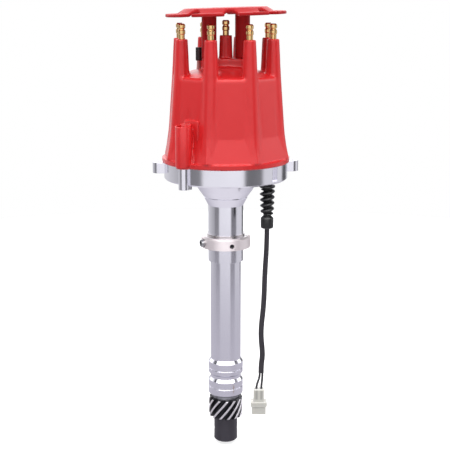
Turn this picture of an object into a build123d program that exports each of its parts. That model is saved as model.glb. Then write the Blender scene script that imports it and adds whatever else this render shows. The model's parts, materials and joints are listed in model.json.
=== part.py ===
"""An electronic ignition distributor for a V8 engine, built up piece by piece.

Millimetres, +Z up. The origin is on the shaft's axis, in the underside of the slip
collar, which is the face that seats on the engine. The maker's side of the part, where
the pickup lead hangs down, is to the front and right: -Y is the front, +X the right.
Angles are counted in degrees from +X, counterclockwise when seen from above.
"""

import os
from math import atan2, cos, degrees, hypot, pi, radians, sin, tan

from build123d import *

os.makedirs("parts", exist_ok=True)

# Clearances
running_fit = 0.05  # on the radius of a bore that turns or slides on its shaft
face_gap = 0.1  # between flat faces that turn past each other

# Shaft and housing tube
shaft_r = 6.35
shaft_bottom = -188.7
shaft_top = 115.0
housing_bore_r = 8.0
land_r = 16.1
tube_r = 14.05
waist_r = 14.3
housing_bottom = -142.3
land_chamfer = 1.0
lower_land_top = -128.3
waist_bottom = -125.6
waist_top = -123.2
upper_land_bottom = -120.9
upper_land_top = -110.4
tube_bottom = -107.4
collar_zone_bottom = -13.0
collar_zone_top = 38.9
ring_groove_width = 1.2
ring_groove_depth = 0.8
lower_groove_z = -134.7
upper_groove_z = -116.9
bushing_length = 25.0

# Neck and bowl
neck_mid_r = 20.0
neck_mid_z = 46.3
neck_line_w = 0.6
neck_line_depth = 0.4
neck_edge_r = 24.5
neck_edge_z = 53.0
neck_top_r = 30.5
rim_r = 55.6
rim_wall = 4.0
rim_bottom = 63.5
rim_top = 78.8
rim_edge = 1.2
floor_z = 68.0
register_lip_h = 1.8
register_lip_w = 1.2

# Bowl ears and cap screw lugs
ear_angle = 5.5
ear_centre_r = 60.0
ear_r = 6.0
ear_hole_r = 2.1
ear_bottom = 69.3
cap_screw_angle = 50.5
cap_screw_r = 57.0
screw_lug_r = 4.6
screw_lug_bottom = 60.5
cap_thread_r = 2.0

# Cable exit
cable_angle = -39.5
relief_wall_gap = 4.3
notch_w = 7.0
notch_bottom = 66.0
notch_floor_r = 52.9
relief_hole_r = 3.6

# Upper ball bearing, half-inch bore
bearing_bottom = 54.0
bearing_h = 7.94
bearing_outer_r = 14.29
inner_race_r = 9.0
outer_race_r = 11.6
ball_r = 2.0
ball_count = 8
ball_gap = 0.08
bearing_relief_h = 2.0
clip_h = 1.2
clip_gap = 0.2
clip_groove_depth = 0.9
clip_reach = 2.2

# Slip collar
collar_r = 22.4
collar_h = 10.8
collar_chamfer = 1.5
collar_lip_w = 1.1
collar_lip_h = 1.8
collar_slit_w = 1.3
collar_slit_angle = -13.0
clamp_screw_angle = -155.0
clamp_screw_z = 4.8
clamp_screw_r = 2.5
clamp_head_r = 3.4
clamp_head_h = 4.2
clamp_head_seat_r = 20.9
clamp_socket_af = 4.0
set_screw_angle = -75.2
set_screw_z = 4.2
set_screw_r = 2.1
set_screw_depth = 2.0

# Drive gear, 13 right-hand helical teeth
gear_teeth = 13
gear_tip_r = 16.0
gear_root_r = 12.9
gear_bottom = -165.1
gear_top = -146.0
gear_hub_r = 11.0
gear_hub_bottom = -189.2
gear_lead = 121.6
gear_crest_angle = -82.7
gear_crest_z = -155.3
gear_tip_share = 0.26
gear_root_share = 0.74
gear_sections = 9
gear_end_chamfer = 1.1
hub_chamfer = 1.2
roll_pin_r = 2.38
roll_pin_bore_r = 1.2
roll_pin_z = -178.0
washer_r = 12.6
washer_heights = (1.3, 0.9, 1.4)
washer_gap = 0.02
pump_slot_w = 5.2
pump_slot_depth = 6.5

# Advance mechanism on top of the shaft
sleeve_r = 9.0
sleeve_bottom = 70.0
spacer_r = 9.0
plate_top = 106.5
plate_h = 2.5
plate_r = 30.0
weight_h = 5.0
pivot_r = 24.0
pivot_pin_r = 2.5
pivot_boss_r = 5.0
weight_outer_r = 27.0
weight_inner_r = 16.0
weight_end_angle = 95.0
weight_toe_r = 12.5
weight_toe_start = 18.0
weight_toe_end = 14.0
weight_heel_angle = 8.0
cam_hub_r = 9.4
cam_lobe_r = 14.5
cam_lobe_start = 20.0
cam_lobe_end = 76.0
cam_lobe_rise = 1.2
cam_ramp = 12.0
post_r = 1.5
post_centre_r = 12.4
post_angle = 62.0
spring_z = 113.6
spring_r = 1.7
spring_coils = 9
spring_eye_h = 0.9
spring_eye_w = 1.0
pin_top = 115.4
stop_arm_angle = 305.0
stop_arm_r = 14.0
stop_arm_w = 4.5
stop_pin_r = 1.5
stop_bushing_r = 3.0
stop_slot_gap = 0.15
stop_pin_tail = 2.0
stop_pin_head_h = 1.8
advance_travel = 12.0
snap_ring_h = 1.0
snap_ring_r = 8.6
snap_groove_r = 5.3

# Reluctor and magnetic pickup
reluctor_teeth = 8
reluctor_bottom = 76.0
reluctor_h = 7.0
reluctor_hub_r = 13.0
reluctor_tip_r = 20.4
reluctor_tooth_w = 3.2
pickup_angle = 10.0
pickup_air_gap = 0.5
pole_w = 5.0
pole_h = 4.0
coil_start_r = 23.4
coil_length = 8.6
coil_size = 14.0
coil_flange = 1.0
coil_bare = 2.2
magnet_start_r = 33.4
magnet_screw_gap = 1.2
magnet_w = 14.0
bracket_h = 1.6
bracket_start_r = 22.0
bracket_wall_gap = 2.1
bracket_w = 20.0
bracket_screw_r = 1.9
bracket_head_r = 3.4
bracket_head_h = 2.2
bracket_screw_depth = 3.6
bracket_screw_inset = 3.9
bracket_screw_y = 6.4
lead_r = 0.7

# Rotor
rotor_bottom_z = 116.5
rotor_disc_r = 34.0
rotor_disc_h = 2.6
rotor_foot_r = 4.0
rotor_foot_centre_r = 23.0
rotor_foot_angle = 145.0
rotor_screw_r = 1.6
rotor_head_r = 3.0
rotor_head_h = 1.8
rotor_hub_r = 11.0
blade_z = 131.0
blade_h = 1.6
blade_w = 7.0
blade_tip_r = 36.8
blade_tail_r = 8.0
rotor_arm_w = 10.0
contact_h = 0.5
contact_w = 5.0
contact_rise = 2.6
contact_foot_r = 14.0
contact_bend_r = 9.0
contact_pad_r = 3.0
rotor_arm_gap = 4.0
rotor_wall_gap = 12.0
rotor_hub_wall = 2.5
rotor_hub_roof = 3.0

# Cap
cap_towers = 8
tower_first_angle = -107.0
tower_centre_r = 43.15
tower_top_z = 188.0
tower_top_r = 5.25
tower_shoulder_r = 6.9
rib_r = 7.4
rib_waist_z = 103.0
rib_waist_centre_r = 46.9
rib_foot_centre_r = 49.9
cap_skirt_r = 57.3
cap_band_h = 3.7
cap_flat_bottom_r = 55.2
cap_flat_top_r = 49.8
cap_shoulder_z = 156.1
cap_shoulder_r = 46.0
cap_shoulder_round = 3.0
cap_dome_z = 163.4
cap_wall = 5.9
cap_mouth_gap = 0.2
cap_mouth_h = 2.6
cap_cavity_top = 152.6
cap_cavity_dome = 157.0
block_top_z = 170.5
block_length = 42.0
block_width = 17.0
block_round = 2.5
centre_tower_top_z = 190.7
centre_tower_top_r = 5.45
centre_tower_foot_r = 6.6
column_r = 6.75
column_top_z = 115.4
column_web_top_z = 119.0
column_web_w = 11.0
column_well_r = 4.9
column_seat_z = 88.0
cap_screw_hole_r = 2.3
cap_screw_shank_r = 1.95
cap_screw_head_r = 4.3
cap_screw_head_h = 3.2
cap_screw_grip = 11.0
boss_r = 5.6
boss_bottom_z = 142.5
button_bore_r = 2.7
button_bore_top_z = 154.0
button_r = 2.6
button_h = 12.0
button_spring_r = 2.1
button_spring_coils = 6

# Spark plug terminals: radius and height above the tower's top
terminal_outline = (
    (2.75, 0.0),
    (2.75, 3.9),
    (3.25, 4.6),
    (3.25, 7.2),
    (2.55, 8.1),
    (2.55, 8.7),
    (3.25, 9.6),
    (3.25, 11.9),
    (2.3, 13.1),
)
terminal_stem_r = 2.4
electrode_bottom = 127.5
electrode_h = 9.5
electrode_w = 4.8
electrode_tip_r = 37.7

# Wire retainer
retainer_z = 207.7
retainer_h = 2.8
retainer_r = 53.2
retainer_notch_r = 6.0
retainer_notch_depth = 15.4
retainer_tilt = 1.7
plateau_top_z = 214.5
plateau_r = 36.3
plateau_foot_r = 42.8
pillar_x = 14.7
pillar_r = 6.6
retainer_screw_r = 2.4
retainer_screw_hole_r = 2.7
retainer_head_r = 4.3
retainer_head_h = 3.0
retainer_head_gap = 0.3
retainer_screw_bottom = 163.5

# Vent
vent_spot = (-24.0, 6.0)
vent_stem_r = 1.7
vent_foot_z = 158.0
vent_bottom_z = 168.3
vent_top_z = 179.9
vent_r = 2.8

# Strain relief, pickup cable and its plug
relief_top_z = 70.6
relief_head_r = 4.1
relief_core_r = 3.9
relief_flange_r = 7.0
relief_flange_h = 1.6
relief_ribs = 5
relief_rib_top_z = 57.6
relief_rib_bottom_z = 37.4
relief_rib_top_r = 7.1
relief_rib_bottom_r = 6.4
relief_rib_h = 3.2
relief_rib_slope = 11.0
relief_rib_taper = 30.0
relief_cuff_top_z = 33.2
relief_bottom_z = 23.5
relief_cuff_r = 5.9
cable_tube_r = 2.5
cable_route = (
    (36.5, -30.1, 23.5),
    (36.5, -30.1, 8.0),
    (34.9, -30.4, -18.0),
    (34.3, -30.9, -47.0),
    (31.4, -31.0, -73.0),
    (33.7, -30.7, -94.0),
    (32.3, -30.4, -104.0),
    (32.3, -30.4, -112.0),
)
wire_r = 1.1
left_wire_route = (
    (31.1, -30.4, -112.0),
    (31.1, -30.4, -116.0),
    (28.2, -30.4, -124.0),
    (28.2, -30.4, -127.5),
)
right_wire_route = (
    (33.5, -30.4, -112.0),
    (33.5, -30.4, -116.0),
    (32.6, -30.4, -124.0),
    (32.6, -30.4, -127.5),
)
plug_spot = (30.3, -30.4)
plug_top_z = -127.5
plug_neck_w = 9.6
plug_depth = 8.4
plug_flange_top_z = -139.2
plug_flange_w = 14.8
plug_flange_depth = 10.4
plug_body_top_z = -143.6
plug_body_w = 12.8
plug_bottom_z = -150.9
plug_mouth_w = 9.8
plug_mouth_depth = 5.8
plug_mouth_h = 9.0
plug_pin_r = 0.8
plug_pin_x = 2.3
plug_pin_h = 6.5


def polar(radius, angle):
    """The point at this distance from the axis and this angle from +X."""
    return (radius * cos(radians(angle)), radius * sin(radians(angle)))


def radial_plane(angle, radius, z):
    """A plane that looks outwards from the axis, with its own x level and y up."""
    x, y = polar(radius, angle)
    across = (-sin(radians(angle)), cos(radians(angle)), 0)
    return Plane(origin=(x, y, z), x_dir=across, z_dir=(*polar(1, angle), 0))


def route_radii(points):
    """The radius of each of a route's corners: as large as its two runs allow."""
    radii = []
    for before, corner, after in zip(points, points[1:], points[2:]):
        run_in = Vector(*corner) - Vector(*before)
        run_out = Vector(*after) - Vector(*corner)
        half_turn = radians(run_in.get_angle(run_out)) / 2
        radii.append(0.45 * min(run_in.length, run_out.length) / tan(half_turn))
    return radii


# Heights and places that follow from the sizes above
rim_inner_r = rim_r - rim_wall
relief_spot = polar(rim_inner_r - relief_wall_gap, cable_angle)
bracket_end_r = rim_inner_r - bracket_wall_gap
bracket_screw_x = bracket_end_r - bracket_screw_inset
bracket_screw_spots = ((bracket_screw_x, bracket_screw_y), (bracket_screw_x, -bracket_screw_y))
magnet_length = bracket_screw_x - bracket_head_r - magnet_screw_gap - magnet_start_r
bearing_top = bearing_bottom + bearing_h
clip_bottom = bearing_top + 0.05
bushing_bottom = housing_bottom + 0.1
plate_bottom = plate_top - plate_h
weight_bottom = plate_top + face_gap
weight_top = weight_bottom + weight_h
reluctor_mid = reluctor_bottom + reluctor_h / 2
rotor_angle = tower_first_angle + 360 / cap_towers
cap_bottom = rim_top
band_top = cap_bottom + cap_band_h
flat_angle = tower_first_angle + 180 / cap_towers
contact_top_z = blade_z + blade_h + contact_rise
button_bottom_z = contact_top_z + face_gap
button_top_z = button_bottom_z + button_h
terminal_h = terminal_outline[-1][1]

# ---------------------------------------------------------------- housing and bearings

housing_outline = (
    (housing_bore_r, housing_bottom),
    (land_r - land_chamfer, housing_bottom),
    (land_r, housing_bottom + land_chamfer),
    (land_r, lower_groove_z - ring_groove_width / 2),
    (land_r - ring_groove_depth, lower_groove_z - ring_groove_width / 2),
    (land_r - ring_groove_depth, lower_groove_z + ring_groove_width / 2),
    (land_r, lower_groove_z + ring_groove_width / 2),
    (land_r, lower_land_top),
    (waist_r, waist_bottom),
    (waist_r, waist_top),
    (land_r, upper_land_bottom),
    (land_r, upper_groove_z - ring_groove_width / 2),
    (land_r - ring_groove_depth, upper_groove_z - ring_groove_width / 2),
    (land_r - ring_groove_depth, upper_groove_z + ring_groove_width / 2),
    (land_r, upper_groove_z + ring_groove_width / 2),
    (land_r, upper_land_top),
    (tube_r, tube_bottom),
    (tube_r, collar_zone_bottom),
    (land_r, collar_zone_bottom),
    (land_r, collar_zone_top),
    (neck_mid_r, neck_mid_z),
    (neck_mid_r - neck_line_depth, neck_mid_z + neck_line_w / 2),
    (neck_mid_r, neck_mid_z + neck_line_w),
    (neck_edge_r, neck_edge_z),
    (neck_top_r, rim_bottom),
    (rim_r - rim_edge, rim_bottom),
    (rim_r, rim_bottom + rim_edge),
    (rim_r, rim_top),
    (rim_inner_r + register_lip_w, rim_top),
    (rim_inner_r + register_lip_w, rim_top + register_lip_h),
    (rim_inner_r, rim_top + register_lip_h),
    (rim_inner_r, floor_z),
    (bearing_outer_r, floor_z),
    (bearing_outer_r, clip_bottom + clip_h + clip_gap),
    (bearing_outer_r + clip_groove_depth, clip_bottom + clip_h + clip_gap),
    (bearing_outer_r + clip_groove_depth, clip_bottom),
    (bearing_outer_r, clip_bottom),
    (bearing_outer_r, bearing_bottom),
    (outer_race_r, bearing_bottom),
    (outer_race_r, bearing_bottom - bearing_relief_h),
    (housing_bore_r, bearing_bottom - bearing_relief_h),
)

with BuildPart() as housing:
    with BuildSketch(Plane.XZ):
        with BuildLine():
            Polyline(*housing_outline, close=True)
        make_face()
    revolve(axis=Axis.Z)
    # ears beside the rim, each with a hole for a clamp
    with BuildSketch(Plane.XY.offset(ear_bottom)):
        with PolarLocations((rim_inner_r + ear_centre_r) / 2, 2, ear_angle):
            Rectangle(ear_centre_r - rim_inner_r, 2 * ear_r)
        with PolarLocations(ear_centre_r, 2, ear_angle):
            Circle(ear_r)
    extrude(amount=rim_top - ear_bottom)
    with BuildSketch(Plane.XY.offset(ear_bottom)):
        with PolarLocations(ear_centre_r, 2, ear_angle):
            Circle(ear_hole_r)
    extrude(amount=rim_top - ear_bottom, mode=Mode.SUBTRACT)
    # lugs that take the cap's screws
    with BuildSketch(Plane.XY.offset(screw_lug_bottom)):
        with PolarLocations((rim_inner_r + cap_screw_r) / 2, 2, cap_screw_angle):
            Rectangle(cap_screw_r - rim_inner_r, 2 * screw_lug_r)
        with PolarLocations(cap_screw_r, 2, cap_screw_angle):
            Circle(screw_lug_r)
    extrude(amount=rim_top - screw_lug_bottom)
    with BuildSketch(Plane.XY.offset(screw_lug_bottom)):
        with PolarLocations(cap_screw_r, 2, cap_screw_angle):
            Circle(cap_thread_r)
    extrude(amount=rim_top - screw_lug_bottom, mode=Mode.SUBTRACT)
    # the bowl stays open where the lugs and ears reached into it
    with BuildSketch(Plane.XY.offset(floor_z)):
        Circle(rim_inner_r)
    extrude(amount=rim_top - floor_z, mode=Mode.SUBTRACT)
    # notch in the rim above the cable, and the cable's hole
    with BuildSketch(Plane.XY.offset(notch_bottom)):
        with PolarLocations(notch_floor_r + rim_r / 2, 1, cable_angle):
            Rectangle(rim_r, notch_w)
    extrude(amount=rim_top - notch_bottom, mode=Mode.SUBTRACT)
    with BuildSketch(Plane.XY.offset(rim_bottom)):
        with Locations(relief_spot):
            Circle(relief_hole_r)
    extrude(amount=floor_z - rim_bottom, mode=Mode.SUBTRACT)
    # threaded holes for the pickup's screws
    with BuildSketch(Plane.XY.offset(floor_z)):
        with PolarLocations(0, 1, pickup_angle):
            with Locations(*bracket_screw_spots):
                Circle(bracket_screw_r)
    extrude(amount=-bracket_screw_depth, mode=Mode.SUBTRACT)
housing.part.label = "housing"
export_step(housing.part, "parts/housing.step")

with BuildPart() as lower_bushing:
    with BuildSketch(Plane.XY.offset(bushing_bottom)):
        Circle(housing_bore_r)
        Circle(shaft_r + running_fit, mode=Mode.SUBTRACT)
    extrude(amount=bushing_length)
lower_bushing.part.label = "lower_bushing"
export_step(lower_bushing.part, "parts/lower_bushing.step")

ball_orbit_r = (inner_race_r + outer_race_r) / 2
ball_z = bearing_bottom + bearing_h / 2
with BuildPart() as ball_track:
    with BuildSketch(Plane.XZ):
        with Locations((ball_orbit_r, ball_z)):
            Circle(ball_r + ball_gap)
    revolve(axis=Axis.Z)

with BuildPart() as bearing_outer_race:
    with BuildSketch(Plane.XY.offset(bearing_bottom)):
        Circle(bearing_outer_r)
        Circle(outer_race_r, mode=Mode.SUBTRACT)
    extrude(amount=bearing_h)
    add(ball_track.part, mode=Mode.SUBTRACT)
bearing_outer_race.part.label = "bearing_outer_race"
export_step(bearing_outer_race.part, "parts/bearing_outer_race.step")

with BuildPart() as bearing_inner_race:
    with BuildSketch(Plane.XY.offset(bearing_bottom)):
        Circle(inner_race_r)
        Circle(shaft_r, mode=Mode.SUBTRACT)
    extrude(amount=bearing_h)
    add(ball_track.part, mode=Mode.SUBTRACT)
bearing_inner_race.part.label = "bearing_inner_race"
export_step(bearing_inner_race.part, "parts/bearing_inner_race.step")

with BuildPart(Plane.XY.offset(ball_z)) as bearing_balls:
    with PolarLocations(ball_orbit_r, ball_count):
        Sphere(ball_r)
bearing_balls.part.label = "bearing_balls"
export_step(bearing_balls.part, "parts/bearing_balls.step")

with BuildPart() as bearing_retaining_ring:
    with BuildSketch(Plane.XY.offset(clip_bottom)):
        Circle(bearing_outer_r + clip_groove_depth)
        Circle(bearing_outer_r - clip_reach, mode=Mode.SUBTRACT)
        with PolarLocations(bearing_outer_r, 1, 90):
            Rectangle(3 * clip_reach, 2 * clip_reach, mode=Mode.SUBTRACT)
    extrude(amount=clip_h)
bearing_retaining_ring.part.label = "bearing_retaining_ring"
export_step(bearing_retaining_ring.part, "parts/bearing_retaining_ring.step")

# -------------------------------------------------------------------------- slip collar

collar_bore_r = land_r + running_fit
collar_outline = (
    (collar_bore_r, 0),
    (collar_r, 0),
    (collar_r, collar_h - collar_chamfer),
    (collar_r - collar_chamfer, collar_h),
    (collar_bore_r + collar_lip_w, collar_h),
    (collar_bore_r + collar_lip_w, collar_h + collar_lip_h),
    (collar_bore_r, collar_h + collar_lip_h),
)
with BuildPart() as slip_collar:
    with BuildSketch(Plane.XZ):
        with BuildLine():
            Polyline(*collar_outline, close=True)
        make_face()
    revolve(axis=Axis.Z)
    with BuildSketch():
        with PolarLocations(collar_r, 1, collar_slit_angle):
            Rectangle(2 * (collar_r - collar_bore_r) + 2, collar_slit_w)
    extrude(amount=collar_h + collar_lip_h, mode=Mode.SUBTRACT)
    # clamp screw: thread, and a sunk seat for its head
    with BuildSketch(radial_plane(clamp_screw_angle, 0, clamp_screw_z)):
        Circle(clamp_screw_r)
    extrude(amount=collar_r, mode=Mode.SUBTRACT)
    with BuildSketch(radial_plane(clamp_screw_angle, clamp_head_seat_r, clamp_screw_z)):
        Circle(clamp_head_r + 0.3)
    extrude(amount=clamp_head_h, mode=Mode.SUBTRACT)
    with BuildSketch(radial_plane(set_screw_angle, 0, set_screw_z)):
        Circle(set_screw_r)
    extrude(amount=collar_r, mode=Mode.SUBTRACT)
slip_collar.part.label = "slip_collar"
export_step(slip_collar.part, "parts/slip_collar.step")

with BuildPart() as collar_clamp_screw:
    with BuildSketch(radial_plane(clamp_screw_angle, collar_bore_r + 0.3, clamp_screw_z)):
        Circle(clamp_screw_r)
    extrude(amount=clamp_head_seat_r - collar_bore_r - 0.3)
    with BuildSketch(radial_plane(clamp_screw_angle, clamp_head_seat_r, clamp_screw_z)):
        Circle(clamp_head_r)
    extrude(amount=clamp_head_h)
    chamfer(collar_clamp_screw.edges().filter_by(GeomType.CIRCLE).sort_by_distance((0, 0, 0))[-1], 0.4)
    clamp_head_end = clamp_head_seat_r + clamp_head_h
    with BuildSketch(radial_plane(clamp_screw_angle, clamp_head_end, clamp_screw_z)):
        RegularPolygon(clamp_socket_af / 2, 6, major_radius=False)
    extrude(amount=-clamp_head_h / 2, mode=Mode.SUBTRACT)
collar_clamp_screw.part.label = "collar_clamp_screw"
export_step(collar_clamp_screw.part, "parts/collar_clamp_screw.step")

with BuildPart() as collar_set_screw:
    with BuildSketch(radial_plane(set_screw_angle, collar_bore_r + 0.1, set_screw_z)):
        Circle(set_screw_r)
    set_screw_length = collar_r - set_screw_depth - collar_bore_r - 0.1
    extrude(amount=set_screw_length)
    with BuildSketch(radial_plane(set_screw_angle, collar_r - set_screw_depth, set_screw_z)):
        RegularPolygon(set_screw_r / 2, 6, major_radius=False)
    extrude(amount=-set_screw_length / 2, mode=Mode.SUBTRACT)
collar_set_screw.part.label = "collar_set_screw"
export_step(collar_set_screw.part, "parts/collar_set_screw.step")

# ------------------------------------------------------------- shaft and its drive gear

clip_seat_z = plate_top + face_gap + weight_h + 0.1

with BuildPart() as main_shaft:
    with BuildSketch(Plane.XY.offset(shaft_bottom)):
        Circle(shaft_r)
    extrude(amount=shaft_top - shaft_bottom)
    chamfer(main_shaft.edges().group_by(Axis.Z)[-1], 0.6)
    # slot for the tongue of the oil pump's drive shaft
    with BuildSketch(Plane.XY.offset(shaft_bottom)):
        Rectangle(2.2 * shaft_r, pump_slot_w)
    extrude(amount=pump_slot_depth, mode=Mode.SUBTRACT)
    # groove for the snap ring above the advance cam
    with BuildSketch(Plane.XY.offset(clip_seat_z)):
        Circle(shaft_r + 1)
        Circle(snap_groove_r, mode=Mode.SUBTRACT)
    extrude(amount=snap_ring_h, mode=Mode.SUBTRACT)
    with BuildSketch(Plane.YZ):
        with Locations((0, roll_pin_z)):
            Circle(roll_pin_r)
    extrude(amount=shaft_r, both=True, mode=Mode.SUBTRACT)
main_shaft.part.label = "main_shaft"
export_step(main_shaft.part, "parts/main_shaft.step")

tooth_pitch = 360 / gear_teeth


def gear_outline(angle):
    """The corners of the toothed section when one crest points this way."""
    corners = []
    for tooth in range(gear_teeth):
        crest = angle + tooth * tooth_pitch
        half_root = gear_root_share * tooth_pitch / 2
        half_tip = gear_tip_share * tooth_pitch / 2
        corners.append(polar(gear_root_r, crest - half_root))
        corners.append(polar(gear_tip_r, crest - half_tip))
        corners.append(polar(gear_tip_r, crest + half_tip))
        corners.append(polar(gear_root_r, crest + half_root))
    return corners


with BuildPart() as drive_gear:
    for section in range(gear_sections):
        section_z = gear_bottom + (gear_top - gear_bottom) * section / (gear_sections - 1)
        twist = gear_crest_angle + 360 * (section_z - gear_crest_z) / gear_lead
        with BuildSketch(Plane.XY.offset(section_z)):
            with BuildLine():
                Polyline(*gear_outline(twist), close=True)
            make_face()
    loft(ruled=True)
    # the teeth run out in a cone at both ends
    with BuildSketch(Plane.XZ):
        with BuildLine():
            Polyline(
                (0, gear_bottom),
                (gear_tip_r - gear_end_chamfer, gear_bottom),
                (gear_tip_r, gear_bottom + gear_end_chamfer),
                (gear_tip_r, gear_top - gear_end_chamfer),
                (gear_tip_r - gear_end_chamfer, gear_top),
                (0, gear_top),
                close=True,
            )
        make_face()
    revolve(axis=Axis.Z, mode=Mode.INTERSECT)
    with BuildSketch(Plane.XZ):
        with BuildLine():
            Polyline(
                (0, gear_hub_bottom),
                (gear_hub_r - hub_chamfer, gear_hub_bottom),
                (gear_hub_r, gear_hub_bottom + hub_chamfer),
                (gear_hub_r, gear_bottom + 1),
                (0, gear_bottom + 1),
                close=True,
            )
        make_face()
    revolve(axis=Axis.Z)
    with BuildSketch(Plane.XY.offset(gear_hub_bottom)):
        Circle(shaft_r)
    extrude(amount=gear_top - gear_hub_bottom, mode=Mode.SUBTRACT)
    with BuildSketch(Plane.YZ):
        with Locations((0, roll_pin_z)):
            Circle(roll_pin_r)
    extrude(amount=gear_hub_r + 1, both=True, mode=Mode.SUBTRACT)
drive_gear.part.label = "drive_gear"
export_step(drive_gear.part, "parts/drive_gear.step")

with BuildPart() as gear_roll_pin:
    with BuildSketch(Plane.YZ):
        with Locations((0, roll_pin_z)):
            Circle(roll_pin_r)
            Circle(roll_pin_bore_r, mode=Mode.SUBTRACT)
    extrude(amount=gear_hub_r - 0.3, both=True)
gear_roll_pin.part.label = "gear_roll_pin"
export_step(gear_roll_pin.part, "parts/gear_roll_pin.step")

with BuildPart() as thrust_washers:
    washer_z = gear_top
    for washer_h in washer_heights:
        with BuildSketch(Plane.XY.offset(washer_z)):
            Circle(washer_r)
            Circle(shaft_r + running_fit, mode=Mode.SUBTRACT)
        extrude(amount=washer_h - washer_gap)
        washer_z += washer_h
thrust_washers.part.label = "thrust_washers"
export_step(thrust_washers.part, "parts/thrust_washers.step")

with BuildPart() as shaft_spacer:
    with BuildSketch(Plane.XY.offset(bearing_top)):
        Circle(spacer_r)
        Circle(shaft_r, mode=Mode.SUBTRACT)
    extrude(amount=sleeve_bottom - face_gap - bearing_top)
shaft_spacer.part.label = "shaft_spacer"
export_step(shaft_spacer.part, "parts/shaft_spacer.step")

# -------------------------------------------------------------------- advance mechanism

with BuildPart() as advance_cam:
    with BuildSketch(Plane.XY.offset(weight_bottom)):
        Circle(cam_hub_r)
        for turn in (0, 180):
            with BuildLine():
                Line((0, 0), polar(cam_lobe_r - cam_lobe_rise, turn + cam_lobe_start))
                Line(
                    polar(cam_lobe_r - cam_lobe_rise, turn + cam_lobe_start),
                    polar(cam_lobe_r, turn + cam_lobe_start + cam_ramp),
                )
                CenterArc(
                    (0, 0),
                    cam_lobe_r,
                    turn + cam_lobe_start + cam_ramp,
                    cam_lobe_end - cam_lobe_start - 2 * cam_ramp,
                )
                Line(
                    polar(cam_lobe_r, turn + cam_lobe_end - cam_ramp),
                    polar(cam_lobe_r - cam_lobe_rise, turn + cam_lobe_end),
                )
                Line(polar(cam_lobe_r - cam_lobe_rise, turn + cam_lobe_end), (0, 0))
            make_face()
        with PolarLocations(stop_arm_r / 2, 1, stop_arm_angle):
            Rectangle(stop_arm_r, 2 * stop_arm_w - 1.6)
        with PolarLocations(stop_arm_r, 1, stop_arm_angle):
            Circle(stop_arm_w)
            Circle(stop_pin_r, mode=Mode.SUBTRACT)
        with PolarLocations(post_centre_r, 2, post_angle):
            Circle(post_r, mode=Mode.SUBTRACT)
        Circle(shaft_r, mode=Mode.SUBTRACT)
    extrude(amount=weight_h)
advance_cam.part.label = "advance_cam"
export_step(advance_cam.part, "parts/advance_cam.step")

with BuildPart() as cam_spring_posts:
    with BuildSketch(Plane.XY.offset(weight_bottom)):
        with PolarLocations(post_centre_r, 2, post_angle):
            Circle(post_r)
    extrude(amount=pin_top - weight_bottom)
cam_spring_posts.part.label = "cam_spring_posts"
export_step(cam_spring_posts.part, "parts/cam_spring_posts.step")

with BuildPart() as stop_pin:
    with BuildSketch(Plane.XY.offset(plate_bottom - stop_pin_tail)):
        with PolarLocations(stop_arm_r, 1, stop_arm_angle):
            Circle(stop_pin_r)
    extrude(amount=weight_top - plate_bottom + stop_pin_tail)
    with BuildSketch(Plane.XY.offset(plate_bottom - stop_pin_tail)):
        with PolarLocations(stop_arm_r, 1, stop_arm_angle):
            RegularPolygon(stop_bushing_r, 6)
    extrude(amount=stop_pin_head_h)
stop_pin.part.label = "stop_pin"
export_step(stop_pin.part, "parts/stop_pin.step")

with BuildPart() as stop_bushing:
    with BuildSketch(Plane.XY.offset(plate_bottom - stop_pin_tail + stop_pin_head_h)):
        with PolarLocations(stop_arm_r, 1, stop_arm_angle):
            Circle(stop_bushing_r)
            Circle(stop_pin_r, mode=Mode.SUBTRACT)
    extrude(amount=weight_bottom - plate_bottom + stop_pin_tail - stop_pin_head_h)
stop_bushing.part.label = "stop_bushing"
export_step(stop_bushing.part, "parts/stop_bushing.step")

with BuildPart() as shaft_snap_ring:
    with BuildSketch(Plane.XY.offset(clip_seat_z)):
        Circle(snap_ring_r)
        Circle(snap_groove_r, mode=Mode.SUBTRACT)
        with PolarLocations(snap_ring_r, 1, 135):
            Rectangle(2 * snap_ring_r, 4, mode=Mode.SUBTRACT)
    extrude(amount=snap_ring_h)
shaft_snap_ring.part.label = "shaft_snap_ring"
export_step(shaft_snap_ring.part, "parts/shaft_snap_ring.step")

with BuildPart() as advance_sleeve:
    with BuildSketch(Plane.XY.offset(sleeve_bottom)):
        Circle(sleeve_r)
        Circle(shaft_r + running_fit, mode=Mode.SUBTRACT)
    extrude(amount=plate_top - sleeve_bottom)
advance_sleeve.part.label = "advance_sleeve"
export_step(advance_sleeve.part, "parts/advance_sleeve.step")

with BuildPart() as weight_plate:
    with BuildSketch(Plane.XY.offset(plate_bottom)):
        Circle(plate_r)
        Circle(sleeve_r, mode=Mode.SUBTRACT)
        with PolarLocations(pivot_r, 2):
            Circle(pivot_pin_r, mode=Mode.SUBTRACT)
        with PolarLocations(rotor_foot_centre_r, 2, rotor_foot_angle):
            Circle(rotor_screw_r, mode=Mode.SUBTRACT)
        # slot in which the stop bushing travels, between a low and a high limit
        SlotArc(
            CenterArc((0, 0), stop_arm_r, stop_arm_angle, advance_travel, mode=Mode.PRIVATE),
            height=2 * (stop_bushing_r + stop_slot_gap),
            mode=Mode.SUBTRACT,
        )
    extrude(amount=plate_h)
weight_plate.part.label = "weight_plate"
export_step(weight_plate.part, "parts/weight_plate.step")

with BuildPart() as weight_pivot_pins:
    with BuildSketch(Plane.XY.offset(plate_bottom)):
        with PolarLocations(pivot_r, 2):
            Circle(pivot_pin_r)
    extrude(amount=pin_top - plate_bottom)
weight_pivot_pins.part.label = "weight_pivot_pins"
export_step(weight_pivot_pins.part, "parts/weight_pivot_pins.step")

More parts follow.
